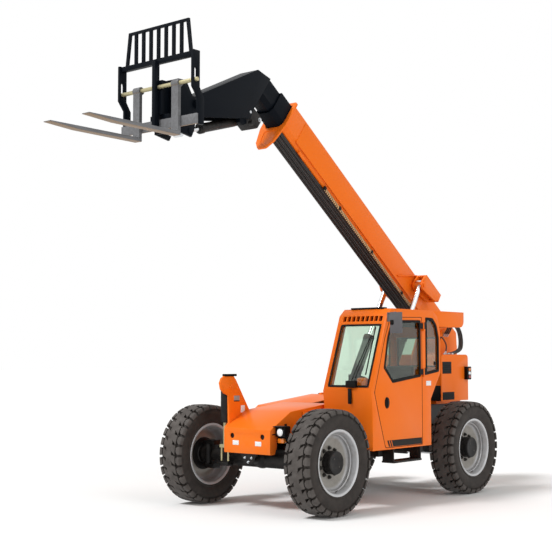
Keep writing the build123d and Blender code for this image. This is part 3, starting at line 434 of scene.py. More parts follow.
def rounded(node_name, new_name, edge, mat, segments=2):
    """A copy of a solid with its loose triangles merged and its sharp edges rounded as real plate is."""
    mesh = bmesh.new()
    mesh.from_mesh(frame["nodes"][node_name].data)
    bmesh.ops.remove_doubles(mesh, verts=mesh.verts, dist=0.00005)
    bmesh.ops.dissolve_limit(mesh, angle_limit=math.radians(0.8), verts=mesh.verts, edges=mesh.edges,
                             delimit={"NORMAL"})
    sharp = [e for e in mesh.edges if len(e.link_faces) == 2 and e.calc_face_angle(0) > math.radians(32)]
    bmesh.ops.bevel(mesh, geom=sharp, offset=edge, offset_type="OFFSET", segments=segments, profile=0.5,
                    affect="EDGES", material=-1, clamp_overlap=True, loop_slide=True)
    bmesh.ops.triangulate(mesh, faces=[f for f in mesh.faces if len(f.verts) > 4])
    piece(new_name, mesh, body_of(node_name), mat, [node_name], 30)


def coat(node_name, mat):
    """Finishes a solid of the frame that serves as it is."""
    frame["nodes"][node_name].data.materials.clear()
    frame["nodes"][node_name].data.materials.append(mat)


def body_of(node_name):
    """The body that a solid of the frame belongs to."""
    return next(b for b, nodes in frame["record"]["behaviour"]["bodies"].items() if node_name in nodes)


# Hard chrome on ground steel: mirror bright, with faint turning marks round the bar.
chrome, tree, here = material("hard_chromed_ground_steel")
turning = node(tree, "TexNoise", {"Vector": here, "Scale": 60, "Detail": 3, "Roughness": 0.55})
finish(tree, {"Base Color": tone("#D9DBDD"), "Metallic": 1.0,
              "Roughness": node(tree, "MapRange", {"Value": turning, "To Min": 0.08, "To Max": 0.2})})

for name in ("front_axle", "rear_axle"):
    rounded(name, f"{name}_housing", 0.008, cast_black)
for corner in wheel_middles:
    rounded(f"knuckle_{corner}", f"knuckle_{corner}_forging", 0.006, cast_black)
for name in ("front_steer_rod", "rear_steer_rod"):
    coat(name, chrome)
rounded("axle_hangers", "axle_hangers_plate", 0.003, cast_black)

hanger_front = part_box("axle_hangers")[1][0]
axle_bolts = bmesh.new()
for y, z in ((-0.055, 0.648), (0.055, 0.648), (0.0, 0.595)):
    bolt_head(axle_bolts, (hanger_front - 0.0005, y, z), (1, 0, 0), 0.011, 0.011)
piece("hanger_bolts", axle_bolts, body_of("axle_hangers"), zinc_bright)

# ---- frame, nose and counterweight --------------------------------------------------------------------
# Welded steel plate, shot blasted and sprayed with two-pack orange enamel: deep gloss with a faint orange
# peel, and a film of dust low down. The counterweight is one iron casting in the same coat.


def enamel(name, clean, shade, dusty, rough, shine):
    """Sprayed two-pack enamel: orange-peel ripple of about 4 mm, drawn coarser so that it shows."""
    made, tree, here = material(name)
    height = node(tree, "SeparateXYZ", {0: here}).outputs[2]
    ground = node(tree, "MapRange", {"Value": height, "From Min": 0.35, "From Max": 1.15, "To Min": 0.42,
                                     "To Max": 0.0})
    lumps = node(tree, "TexNoise", {"Vector": here, "Scale": 14, "Detail": 6, "Roughness": 0.7})
    patches = node(tree, "MapRange", {"Value": lumps, "From Min": 0.35, "From Max": 0.75})
    film = node(tree, "Math", {0: ground, 1: patches}, operation="MULTIPLY")
    coat_colour = mottled(tree, here, 3.2, 5, clean, shade, rough=0.6)
    colour = node(tree, "Mix", {0: film, 6: coat_colour, 7: tone(dusty)}, data_type="RGBA")
    dulled = node(tree, "MapRange", {"Value": film, "From Max": 0.4, "To Min": rough, "To Max": rough + 0.35})
    finish(tree, {"Base Color": colour, "Roughness": dulled, "Specular IOR Level": shine,
                  "Normal": pitted(tree, here, 230, 2, 0.06, 0.001, 0.4)})
    return made


orange = enamel("sprayed_orange_two_pack_enamel", "#F5771A", "#F06F16", "#C98A5C", 0.36, 0.15)
frame_black = enamel("sprayed_black_chassis_enamel", "#0F0D0C", "#141110", "#2E2823", 0.5, 0.1)

# The frame is masked and sprayed twice: black below the deck from the cab's nose back and round the foot of
# the tower, orange elsewhere.
two_coat, tree, here = material("two_coat_masked_enamel")
spot = node(tree, "SeparateXYZ", {0: here})
areas = []
for front, top in ((0.80, 1.195), (-0.72, 1.45)):
    behind = node(tree, "Math", {0: spot.outputs[0], 1: front}, operation="LESS_THAN")
    under = node(tree, "Math", {0: spot.outputs[2], 1: top}, operation="LESS_THAN")
    areas.append(node(tree, "Math", {0: behind, 1: under}, operation="MULTIPLY"))
masked = node(tree, "Math", {0: areas[0], 1: areas[1]}, operation="MAXIMUM")
black_coat = mottled(tree, here, 11, 5, "#0F0D0C", "#241F1C", (0.45, 0.8))
orange_coat = mottled(tree, here, 3.2, 5, "#F5771A", "#F06F16", rough=0.6)
colour = node(tree, "Mix", {0: masked, 6: orange_coat, 7: black_coat}, data_type="RGBA")
finish(tree, {"Base Color": colour, "Roughness": 0.42, "Specular IOR Level": 0.15,
              "Normal": pitted(tree, here, 230, 2, 0.06, 0.001, 0.4)})

rounded("main_frame", "main_frame_welded", 0.003, two_coat)
for name, edge in (("nose", 0.005), ("sway_bracket", 0.004), ("counterweight", 0.012),
                   ("engine_hood", 0.006)):
    rounded(name, f"{name}_welded", edge, orange)
coat("engine_block", cast_black)


def plate(name, middle, size, mat, edge=0.002, body="chassis", turn=None):
    """A thin rounded plate about its middle, such as a reflector or a blank sign."""
    mesh = bmesh.new()
    bmesh.ops.create_cube(mesh, size=1.0, matrix=Matrix.Diagonal((*size, 1)))
    bmesh.ops.bevel(mesh, geom=mesh.edges[:], offset=edge, offset_type="OFFSET", segments=2, profile=0.5,
                    affect="EDGES", material=-1, clamp_overlap=True)
    if turn is not None:
        bmesh.ops.rotate(mesh, cent=(0, 0, 0), matrix=turn, verts=mesh.verts)
    bmesh.ops.translate(mesh, vec=middle, verts=mesh.verts)
    piece(name, mesh, body, mat)


# Retroreflective sheet: white plastic with a honeycomb of about 5 mm under a clear gloss face.
reflector, tree, here = material("white_retroreflective_sheet")
cells = node(tree, "TexVoronoi", {"Vector": here, "Scale": 190}, feature="DISTANCE_TO_EDGE")
in_cell = node(tree, "MapRange", {"Value": cells.outputs["Distance"], "From Min": 0.02, "From Max": 0.12})
colour = node(tree, "Mix", {0: in_cell, 6: tone("#C9CCCF"), 7: tone("#F1F2F3")}, data_type="RGBA")
finish(tree, {"Base Color": colour, "Roughness": 0.25, "Coat Weight": 0.6})

# Printed vinyl film, left bare of words: grey with a soft satin face.
vinyl_grey, tree, here = material("grey_satin_vinyl_film")
finish(tree, {"Base Color": mottled(tree, here, 40, 3, "#8A8C8E", "#9B9C9C"), "Roughness": 0.4})

front_face, nose_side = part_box("nose")[1][:2]
for side, y in (("left", 0.184), ("right", -0.184)):
    plate(f"nose_reflector_{side}", (front_face + 0.0005, y, 0.828), (0.004, 0.10, 0.056), reflector)
    # The side plate's front edge shows as a lip past the front plate, with its weld.
    plate(f"nose_edge_{side}", (front_face - 0.008, math.copysign(nose_side - 0.010, y), 0.850),
          (0.024, 0.018, 0.29), orange, 0.005)
# The slot and the cable hole in the side plate are black plates laid on it: painted shade where no opening is
# cut.
for name, x, z, size in (("nose_slot", 1.785, 0.945, (0.060, 0.004, 0.014)),
                         ("nose_cable_hole", 1.560, 1.010, (0.045, 0.004, 0.11))):
    plate(name, (x, nose_side + 0.0005, z), size, frame_black, 0.0015)

bracket_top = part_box("sway_bracket")[1][2]
bracket_face = -0.380
plate("bracket_sign_grey", (1.615, bracket_face + 0.0005, 1.365), (0.105, 0.004, 0.060), vinyl_grey)
plate("bracket_sign_edge", (1.615, bracket_face + 0.0010, 1.328), (0.105, 0.004, 0.012), frame_black)
plate("bracket_sign_white", (1.500, bracket_face + 0.0005, 1.225), (0.075, 0.004, 0.09), reflector)
plate("bracket_top_strip", (1.735, bracket_face - 0.014, bracket_top - 0.004), (0.22, 0.05, 0.030),
      frame_black, 0.004)

# ---- lamps --------------------------------------------------------------------------------------------
# Head and tail lamps: black moulded nylon boxes with clear, amber and red acrylic lenses, each bolted to
# the sheet metal with its cable behind.

# Moulded glass-filled nylon: black, satin, with a fine leather grain of about 1 mm drawn at 3 mm.
nylon, tree, here = material("moulded_black_nylon")
finish(tree, {"Base Color": mottled(tree, here, 12, 4, "#090909", "#131212"), "Roughness": 0.5,
              "Specular IOR Level": 0.15, "Normal": pitted(tree, here, 340, 2, 0.3, 0.0008)})


def acrylic(name, colour, painted_glow=0.0):
    """Pressed acrylic lens: fluted with ribs about 12 mm apart that catch the light, and given a painted glow
    where one is asked for.
    """
    made, tree, here = material(name)
    across = node(tree, "Mapping", {"Vector": here, "Scale": (0.0, 1.0, 0.0)})
    ribs = node(tree, "TexWave", {"Vector": across, "Scale": 26.0, "Distortion": 0.0}, bands_direction="Y")
    finish(tree, {"Base Color": tone(colour), "Roughness": 0.12, "Coat Weight": 0.8,
                  "Specular IOR Level": 0.6, "Emission Color": tone(colour), "Emission Strength": painted_glow,
                  "Normal": node(tree, "Bump", {"Height": ribs, "Strength": 0.4, "Distance": 0.002})})
    return made


# The clear lenses are given a faint glow of their own: painted light that keeps them pale, on the head lamps
# and in the middle of each tail lamp.
lens_clear = acrylic("pressed_clear_acrylic", "#E9ECEE", 0.12)
lens_amber = acrylic("pressed_amber_acrylic", "#E07B1B")
lens_red = acrylic("pressed_red_acrylic", "#A81D16")

rounded("head_lamps", "head_lamp_boxes", 0.006, nylon)
rounded("tail_lamps", "tail_lamp_boxes", 0.005, nylon)
lamp_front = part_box("head_lamps")[1][0]


def lens(name, middle, way, radius, depth, mat):
    """A round domed lens in its rim."""
    mesh = bmesh.new()
    spun(mesh, [(0.0005, depth), (radius * 0.45, depth * 0.93), (radius * 0.8, depth * 0.6),
                (radius * 0.95, depth * 0.2), (radius, 0), (radius * 0.96, -0.004), (0.0005, -0.004)], 40)
    turn = Vector(way).normalized().rotation_difference(Vector((0, 1, 0))).inverted().to_matrix()
    bmesh.ops.rotate(mesh, cent=(0, 0, 0), matrix=turn, verts=mesh.verts)
    bmesh.ops.translate(mesh, vec=middle, verts=mesh.verts)
    piece(name, mesh, "chassis", mat)


SIDES = (("left", 1), ("right", -1))
for side, out in SIDES:
    x = lamp_front - (0.0 if out > 0 else 0.155)
    lens(f"head_lamp_lens_{side}", (x + 0.0005, 0.468 * out, 0.975), (1, 0, 0), 0.046, 0.014, lens_clear)
    plate(f"head_lamp_hood_{side}", (x - 0.045, 0.455 * out, 1.043), (0.14, 0.155, 0.012), nylon, 0.004)
    plate(f"turn_lamp_{side}", (x - 0.062, 0.448 * out, 0.872), (0.055, 0.10, 0.060), lens_amber, 0.010)
    plate(f"turn_lamp_case_{side}", (x - 0.100, 0.452 * out, 0.905), (0.05, 0.125, 0.07), nylon, 0.008)
tail_low, tail_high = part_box("tail_lamps")
for side, out in SIDES:
    for index, (mat, z) in enumerate(((lens_amber, 1.700), (lens_clear, 1.646), (lens_red, 1.592))):
        plate(f"tail_lamp_rear_{side}_{index}", (tail_low[0] - 0.002, 0.5475 * out, z),
              (0.008, 0.038, 0.044), mat, 0.003)
        plate(f"tail_lamp_side_{side}_{index}", (tail_high[0] - 0.060, (tail_high[1] + 0.002) * out, z),
              (0.055, 0.008, 0.040), mat, 0.003)

# ---- cab ----------------------------------------------------------------------------------------------
# A folded and welded steel cell in orange enamel, with a hinged door, bonded tinted glass in black rubber
# seals, a slotted roof front, and a vinyl seat with its controls inside.
for name, edge in (("cab_shell", 0.006), ("cab_door", 0.005), ("roof_fairing", 0.008)):
    rounded(name, f"{name}_pressed", edge, orange)


def float_glass(name, tint, shade):
    """Toughened float glass, 6 mm: clear, flat and fully glossy, with an open way for the light."""
    made, tree, _ = material(name)
    pane = node(tree, "BsdfPrincipled", {"Base Color": tone(tint), "Roughness": 0.0, "IOR": 1.5,
                                         "Transmission Weight": 1.0})
    clear = node(tree, "BsdfTransparent", {"Color": tone(shade)})
    shadow = node(tree, "LightPath").outputs["Is Shadow Ray"]
    node(tree, "OutputMaterial", {"Surface": node(tree, "MixShader", {0: shadow, 1: pane, 2: clear})})
    return made


# The screen and fixed panes are pale iron green; the door's sliding pane is two sheets deep and darker.
for name, glass in (("cab_glass", float_glass("green_tinted_toughened_glass", "#E4F2E6", "#D3E8D8")),
                    ("door_glass", float_glass("deep_green_toughened_glass", "#A3B5A4", "#A9BBAA"))):
    coat(name, glass)

# Extruded EPDM seal: matt black rubber, slightly dusty.
seal, tree, here = material("extruded_epdm_seal")
finish(tree, {"Base Color": mottled(tree, here, 25, 4, "#070707", "#161514"), "Roughness": 0.62,
              "Specular IOR Level": 0.15})

charcoal = enamel("satin_charcoal_vinyl_strip", "#1E1D1B", "#252321", "#3A332D", 0.45, 0.12)


def gasket(name, corners, outward, width, depth, body):
    """A seal round an opening: a flat strip inside its rounded corners, drawn outward to its depth."""
    mesh = bmesh.new()
    bmesh.ops.contextual_create(mesh, geom=[mesh.verts.new(c) for c in corners])
    bmesh.ops.bevel(mesh, geom=mesh.verts[:], offset=0.03, offset_type="OFFSET", segments=3, profile=0.5,
                    affect="VERTICES", material=-1, clamp_overlap=True)
    inset = bmesh.ops.inset_region(mesh, faces=mesh.faces[:], thickness=width, use_boundary=True,
                                    use_even_offset=True)
    ring = set(inset["faces"])
    bmesh.ops.delete(mesh, geom=[f for f in mesh.faces if f not in ring], context="FACES")
    drawn_out(mesh, Vector(outward) * depth)
    piece(name, mesh, body, seal)


# The cab's front face and outer side, from which its trim is placed, the middle of its room and the sides of
# its two cross panes.
cab_nose, cab_out, cab_middle = 0.845, 1.18, 0.805
pane_in, pane_out = 0.490, 1.125


def on_cab(points, y):
    """Side-view points given behind the cab's nose, at a distance from the machine's middle line."""
    return [(cab_nose + x, y, z) for x, z in points]


door_pane = [(-1.085, 1.628), (-1.085, 2.365), (-0.418, 2.352), (-0.320, 2.120), (-0.240, 1.745),
             (-0.435, 1.556)]
quarter_pane = [(-1.525, 1.690), (-1.200, 1.648), (-1.200, 2.405), (-1.375, 2.400), (-1.470, 2.310),
                (-1.525, 2.140)]
right_pane = [(-1.450, 1.500), (-0.135, 1.500), (-0.435, 2.350), (-1.370, 2.350), (-1.450, 2.190)]
door_edge = [(-1.115, 0.750), (-0.268, 0.750), (-0.125, 1.167), (-0.036, 1.446), (-0.265, 2.122),
             (-0.392, 2.390), (-1.115, 2.405)]
gasket("door_window_seal", on_cab(door_pane, cab_out - 0.012), (0, 1, 0), 0.034, 0.016, "door")
gasket("quarter_window_seal", on_cab(quarter_pane, cab_out - 0.012), (0, 1, 0), 0.034, 0.016, "chassis")
gasket("right_window_seal", on_cab(right_pane, 0.434), (0, -1, 0), 0.020, 0.008, "chassis")
gasket("door_edge_seal", on_cab(door_edge, cab_out - 0.006), (0, 1, 0), 0.006, 0.008, "chassis")

# The screen stands on the cab's nose and leans back by so much for each metre of height.
SCREEN_LEAN, SCREEN_BASE = 0.3717, 1.455
slope = Vector((-0.355, 0, 0.955)).normalized()
screen_out = Vector((slope.z, 0, -slope.x))
foot, head = [Vector((cab_nose + 0.030 - (z - SCREEN_BASE) * SCREEN_LEAN, 0, z)) for z in (1.505, 2.300)]
screen = [(foot.x, pane_in, foot.z), (foot.x, pane_out, foot.z), (head.x, pane_out, head.z),
          (head.x, pane_in, head.z)]
gasket("windscreen_seal", screen, screen_out, 0.026, 0.006, "chassis")
rear_pane = [(cab_nose - 1.560, y, z) for y, z in ((pane_in, 1.750), (pane_out, 1.750), (pane_out, 2.150),
                                                   (pane_in, 2.150))]
gasket("rear_window_seal", rear_pane, (-1, 0, 0), 0.020, 0.006, "chassis")
plate("door_header_band", (cab_nose - 0.76, 1.115, 2.315), (0.60, 0.020, 0.095), charcoal, 0.006)

# Cab lining: a moulded black headliner under the roof, an orange dash shelf behind the screen's foot, and
# black trim on the wall beside the driver.
plate("cab_headliner", (cab_nose - 0.93, cab_middle, 2.400), (0.98, 0.66, 0.11), nylon, 0.02)
plate("cab_header_front", (cab_nose - 0.43, cab_middle, 2.36), (0.05, 0.66, 0.14), nylon, 0.01)
plate("dash_shelf", (cab_nose - 0.085, cab_middle, 1.478), (0.11, 0.65, 0.030), orange, 0.006)
plate("dash_cowl", (cab_nose - 0.120, 0.950, 1.560), (0.10, 0.15, 0.13), orange, 0.030)
plate("right_wall_trim", (cab_nose - 0.78, 0.4765, 1.23), (1.20, 0.008, 0.46), nylon, 0.003)
for index, (x, tall) in enumerate(((-0.40, 0.20), (-0.48, 0.17), (-0.56, 0.20))):
    plate(f"hand_lever_{index}", (cab_nose + x, 0.53, 1.46 + tall / 2), (0.022, 0.022, tall), nylon, 0.008)
plate("arm_console", (cab_nose - 0.62, 0.545, 1.385), (0.50, 0.11, 0.13), nylon, 0.02)

# Door furniture: an oval black pull in a dished cup, black hinge straps and a small blank plate.
pull_x, pull_z = cab_nose - 0.304, 1.312
cup = bmesh.new()
bmesh.ops.create_cone(cup, cap_ends=True, segments=32, radius1=0.5, radius2=0.46, depth=1.0,
                      matrix=Matrix.Translation((pull_x, cab_out + 0.005, pull_z)) @
                      Matrix.Diagonal((0.092, 0.014, 0.146, 1)) @ Matrix.Rotation(-math.pi / 2, 4, "X"))
piece("door_pull_cup", cup, "door", nylon)
plate("door_pull", (pull_x, cab_out + 0.015, pull_z), (0.028, 0.012, 0.10), nylon, 0.005, body="door")
for index, z in enumerate((1.69, 2.29)):
    plate(f"door_hinge_{index}", (cab_nose - 1.085, cab_out + 0.0145, z), (0.11, 0.008, 0.075), nylon,
          0.003, body="door")
    plate(f"post_hinge_{index}", (cab_nose - 1.185, cab_out + 0.006, z + 0.004), (0.060, 0.012, 0.085),
          nylon, 0.003)
plate("post_plate_blank", (cab_nose - 1.268, cab_out + 0.0005, 1.540), (0.115, 0.004, 0.062), reflector)
plate("window_latch", (cab_nose - 1.440, cab_out - 0.010, 1.800), (0.05, 0.012, 0.05), nylon, 0.008)


def door_film(name, corners, lift, thick, mat):
    """A flat piece of printed film on the door, given by its corners in side view."""
    mesh = bmesh.new()
    bmesh.ops.contextual_create(mesh, geom=[mesh.verts.new(c) for c in on_cab(corners, cab_out + lift)])
    drawn_out(mesh, (0, thick, 0))
    piece(name, mesh, "door", mat)


door_film("door_sign_strip", ((-1.095, 0.762), (-0.345, 0.762), (-0.305, 0.842), (-1.095, 0.842)),
          0.001, 0.002, charcoal)
for index, x in enumerate((-0.385, -0.430)):
    bar = ((x, 0.764), (x + 0.014, 0.764), (x + 0.044, 0.840), (x + 0.030, 0.840))
    door_film(f"door_sign_bar_{index}", bar, 0.0025, 0.0015, orange)


def bent_line(name, points, radius, steps):
    """A smooth line led by a few control points, given a round section."""
    curve = bpy.data.curves.new(name, "CURVE")
    curve.dimensions = "3D"
    curve.bevel_depth = radius
    curve.bevel_resolution = 3
    curve.resolution_u = steps
    curve.use_fill_caps = True
    line = curve.splines.new("NURBS")
    line.points.add(len(points) - 1)
    for point, at in zip(line.points, points):
        point.co = (*at, 1)
    line.order_u = 3
    line.use_endpoint_u = True
    return curve


def tube(name, points, radius, mat):
    """A bent bar that is fixed to the cab."""
    draft = bpy.data.objects.new(name + "_line", bent_line(name, points, radius, 6))
    data = bpy.data.meshes.new_from_object(draft)
    bpy.data.objects.remove(draft)
    data.name = name
    data.materials.clear()
    data.materials.append(mat)
    for face in data.polygons:
        face.use_smooth = True
    made = bpy.data.objects.new(name, data)
    scene.collection.objects.link(made)
    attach(made, "chassis")


# Wiper: a black pantograph pair from its gear box at the foot of the screen to a blade near its left edge.
base = foot + screen_out * 0.03
pivot = Vector((base.x - 0.02, 0.88, base.z + 0.065))
tip = head * 0.80 + foot * 0.20 + screen_out * 0.035
plate("wiper_gear_box", (pivot.x + 0.012, 0.88, pivot.z - 0.035), (0.07, 0.15, 0.09), nylon, 0.014)
plate("wiper_gear_foot", (foot.x + 0.030, 0.86, foot.z - 0.11), (0.024, 0.05, 0.19), nylon, 0.008)
for index, gap in enumerate((0.0, 0.045)):
    tube(f"wiper_arm_{index}", [pivot + Vector((0.02, gap, 0)), pivot + Vector((0.03, gap + 0.02, 0.03)),
                                Vector((tip.x + 0.015, 1.035 + gap * 0.5, tip.z))], 0.006, nylon)
blade_foot = Vector((foot.x, 1.06, foot.z))
tube("wiper_blade", [blade_foot + slope * up + screen_out * off
                     for up, off in ((0.16, 0.025), (0.45, 0.028), (0.80, 0.025))], 0.008, seal)

# Mirror shell: grey ABS with a fine spark-eroded texture, satin.
mirror_grey, tree, here = material("moulded_grey_abs")
finish(tree, {"Base Color": mottled(tree, here, 10, 4, "#555457", "#626164"), "Roughness": 0.45,
              "Specular IOR Level": 0.3, "Normal": pitted(tree, here, 340, 2, 0.25, 0.0008)})
rounded("mirror", "mirror_shell", 0.020, mirror_grey, segments=3)
plate("mirror_ball_joint", (cab_nose - 0.208, cab_out + 0.150, 2.315), (0.020, 0.05, 0.06), nylon, 0.009)

# A low black guard on two feet stands over the vent slots at the roof's front edge. The driver climbs in by
# a welded step, and the controls stand on a moulded console.
plate("roof_guard_strip", (cab_nose - 0.46, 0.80, 2.508), (0.085, 0.52, 0.022), nylon, 0.008)
for index, y in enumerate((0.62, 0.98)):
    plate(f"roof_guard_foot_{index}", (cab_nose - 0.46, y, 2.499), (0.05, 0.03, 0.018), nylon, 0.004)
rounded("step", "step_welded", 0.004, cast_black)
rounded("console", "console_moulded", 0.010, nylon)

# The seat is polyurethane foam under black vinyl, sewn in channels, on a boxed-in spring base. The vinyl is
# laid on cloth: soft black with a pebble grain of about 3 mm and a dull sheen.
vinyl, tree, here = material("black_pebbled_seat_vinyl")
pebble = node(tree, "TexVoronoi", {"Vector": here, "Scale": 320}, feature="SMOOTH_F1")
pebbled = node(tree, "Bump", {"Height": pebble.outputs["Distance"], "Strength": 0.35, "Distance": 0.001})
finish(tree, {"Base Color": mottled(tree, here, 18, 4, "#232426", "#313335"), "Roughness": 0.5,
              "Sheen Weight": 0.15, "Normal": pebbled})


def cushion(name, size, middle, tilt, cap):
    """A padded form: a shrunken block that is blown up as cloth against a limit, then softened."""
    mesh = bmesh.new()
    shrunken = Matrix.Diagonal((size[0] * 0.94, size[1] * 0.94, size[2] * 0.80, 1))
    bmesh.ops.create_cube(mesh, size=1.0, matrix=shrunken)
    bmesh.ops.subdivide_edges(mesh, edges=mesh.edges[:], cuts=9, use_grid_fill=True)
    bmesh.ops.smooth_vert(mesh, verts=mesh.verts, factor=0.5, use_axis_x=True, use_axis_y=True,
                          use_axis_z=True)
    data = bpy.data.meshes.new(name)
    mesh.to_mesh(data)
    mesh.free()
    made = bpy.data.objects.new(name, data)
    scene.collection.objects.link(made)
    start = [v.co.copy() for v in data.vertices]
    cloth = made.modifiers.new("padding", "CLOTH")
    cloth.settings.use_pressure = True
    cloth.settings.uniform_pressure_force = 4.0
    cloth.settings.effector_weights.gravity = 0.0
    cloth.point_cache.frame_start, cloth.point_cache.frame_end = 1, 20
    for step in range(1, 21):
        scene.frame_set(step)
    shape = bpy.data.meshes.new_from_object(made.evaluated_get(bpy.context.evaluated_depsgraph_get()))
    blown = [v.co.copy() for v in shape.vertices]
    made.modifiers.clear()
    for v, a, b in zip(made.data.vertices, start, blown):
        shift = b - a
        v.co = a + (shift if shift.length < cap else shift.normalized() * cap)
    scene.frame_set(1)
    soft = bmesh.new()
    soft.from_mesh(made.data)
    bpy.data.objects.remove(made)
    # Sewn channels run across the cushion, each a narrow valley.
    for v in soft.verts:
        across = math.cos(v.co.x / size[0] * math.pi * 5)
        if v.co.z > 0 and abs(v.co.y) < size[1] * 0.36:
            v.co.z -= 0.007 * max(0.0, -across - 0.6) / 0.4
    bmesh.ops.subdivide_edges(soft, edges=soft.edges[:], cuts=1, use_grid_fill=True, smooth=0.6)
    bmesh.ops.rotate(soft, cent=(0, 0, 0), matrix=Matrix.Rotation(tilt, 3, "Y"), verts=soft.verts)
    bmesh.ops.translate(soft, vec=middle, verts=soft.verts)
    piece(name, soft, "chassis", vinyl, smooth=80)


seat_low, seat_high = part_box("seat")
seat_y = (seat_low[1] + seat_high[1]) / 2
cushion("seat_cushion", (0.52, 0.46, 0.12), (cab_nose - 0.925, seat_y, 1.172), math.radians(2), 0.012)
cushion("seat_back", (0.58, 0.44, 0.11), (cab_nose - 1.165, seat_y, 1.50), math.radians(-84), 0.012)
seat_base = bmesh.new()
bmesh.ops.create_cube(seat_base, size=1.0, matrix=Matrix.Translation((cab_nose - 0.925, seat_y, 0.95)) @
                      Matrix.Diagonal((0.42, 0.37, 0.34, 1)))
bmesh.ops.bevel(seat_base, geom=seat_base.edges[:], offset=0.02, offset_type="OFFSET", segments=2,
                profile=0.5, affect="EDGES", material=-1, clamp_overlap=True)
piece("seat_base", seat_base, "chassis", nylon, ["seat"])

# ---- rear boxes ---------------------------------------------------------------------------------------
# Folded steel boxes each side of the tower, in the same enamel, with black pressed louvre patches, and four
# black pressure hoses that loop from a bulkhead on the tower over to the left-hand box.
LOUVRE_FRONT, SLATS = -1.825, 6


def block(mesh, middle, size, turn=Matrix.Identity(4)):
    """Adds a plain block about its middle."""
    place = Matrix.Translation(middle) @ turn @ Matrix.Diagonal((*size, 1))
    bmesh.ops.create_cube(mesh, size=1.0, matrix=place)


for side, out in SIDES:
    rounded(f"rear_box_{side}", f"rear_box_{side}_folded", 0.006, orange)
    box_low, box_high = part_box(f"rear_box_{side}")
    inner, outer = sorted((abs(box_low[1]), abs(box_high[1])))
    plate(f"box_front_guard_{side}", (box_high[0] + 0.003, (inner + outer) / 2 * out, 1.36),
          (0.006, (outer - inner) * 0.94, 0.22), nylon)
    for index, (low, high, span) in enumerate(((1.262, 1.375, 0.315), (1.642, 1.815, 0.240))):
        louvre = bmesh.new()
        middle_x = LOUVRE_FRONT - span / 2
        for row in range(SLATS):
            z = low + (row + 0.5) * (high - low) / SLATS
            block(louvre, (middle_x, 0.523 * out, z), (span - 0.01, 0.003, 0.018),
                  Matrix.Rotation(math.radians(35 * out), 4, "X"))
        block(louvre, (middle_x, 0.5205 * out, (low + high) / 2), (span, 0.003, high - low))
        piece(f"box_louvre_{side}_{index}", louvre, "chassis", nylon)

# Braided rubber hose: black, satin, with the braid's diamond just showing through the cover.
hose_rubber, tree, here = material("braided_black_rubber_hose")
weave = node(tree, "TexVoronoi", {"Vector": here, "Scale": 260}, distance="CHEBYCHEV")
braid = node(tree, "Bump", {"Height": weave.outputs["Distance"], "Strength": 0.3, "Distance": 0.001})
finish(tree, {"Base Color": mottled(tree, here, 20, 4, "#151515", "#2C2A29"), "Roughness": 0.48,
              "Normal": braid})


def hose(name, points, diameter):
    """A free hose on one smooth line, with a pressed ferrule at each end."""
    made = bpy.data.objects.new(name, bent_line(name, points, diameter / 2, 12))
    scene.collection.objects.link(made)
    made.data.materials.append(hose_rubber)
    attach(made, "chassis")
    for index, (at, following) in enumerate(((points[0], points[1]), (points[-1], points[-2]))):
        way = (Vector(following) - Vector(at)).normalized()
        ferrule = bmesh.new()
        stub(ferrule, Vector(at) + way * 0.02, way, diameter * 0.72, diameter * 0.62, 0.05, 14)
        piece(f"{name}_ferrule_{index}", ferrule, "chassis", zinc_bright)


# Three service hoses leave a bulkhead on the tower, rise, and hang out behind it before they turn in to the
# box; a shorter one does the same ahead of them.
for index, cut in enumerate((1.054, 1.074, 1.102)):
    back, ahead = 0.045 * index, 0.050 * index
    run = [(-2.34 - 0.055 * index, 0.2145, 2.20), (-2.33 - ahead, 0.30, 2.29), (-2.22 - back, 0.40, 2.40),
           (-2.38 - back, 0.44, 2.31), (-2.46 - back, 0.43, 2.10), (-2.42 - back, 0.42, 1.955),
           (-2.13 - 0.02 * index, 0.36 + 0.05 * index, 1.925)]
    hose(f"service_hose_{index}", run, 0.024)
hose("service_hose_short", [(-2.16, 0.2145, 2.00), (-2.12, 0.28, 2.08), (-2.03, 0.36, 2.18),
                            (-1.99, 0.42, 2.17), (-2.08, 0.43, 2.08), (-2.10, 0.42, 1.99),
                            (-2.09, 0.40, 1.925)], 0.020)

# ---- boom ---------------------------------------------------------------------------------------------
# Three welded box sections that telescope on nylon pads. The outer one is in orange enamel, with a welded
# flange at its mouth, and the two inner ones are in blue-black satin enamel.
navy = enamel("satin_blue_black_enamel", "#070B11", "#0B1119", "#262625", 0.45, 0.07)
rounded("boom_outer", "boom_outer_welded", 0.006, orange)
rounded("boom_middle", "boom_middle_welded", 0.004, navy)
rounded("boom_inner", "boom_inner_welded", 0.005, navy)
coat("boom_hoses", hose_rubber)

# The boom's pivot, and the lean of the line that the sections slide along.
BOOM_FOOT_X, BOOM_FOOT_Z, BOOM_LEAN = -2.48, 2.09, math.radians(36.3)


def on_boom(along, above, y):
    """A point by its distance along the boom's pivot line and above it."""
    return Vector((BOOM_FOOT_X + along * math.cos(BOOM_LEAN) - above * math.sin(BOOM_LEAN), y,
                   BOOM_FOOT_Z + along * math.sin(BOOM_LEAN) + above * math.cos(BOOM_LEAN)))


# Each side of the outer box has a doubler plate. Below the left one runs a nylon spiral guard over two small
# hoses, in black clips, from an orange bracket.
boom_turn = Matrix.Rotation(-BOOM_LEAN, 3, "Y")
outer_body, head_body = body_of("boom_outer"), body_of("boom_inner")
for side, out in SIDES:
    plate(f"boom_doubler_{side}", on_boom(2.635, 0.120, 0.1715 * out), (3.53, 0.006, 0.34), orange, 0.002,
          body=outer_body, turn=boom_turn)
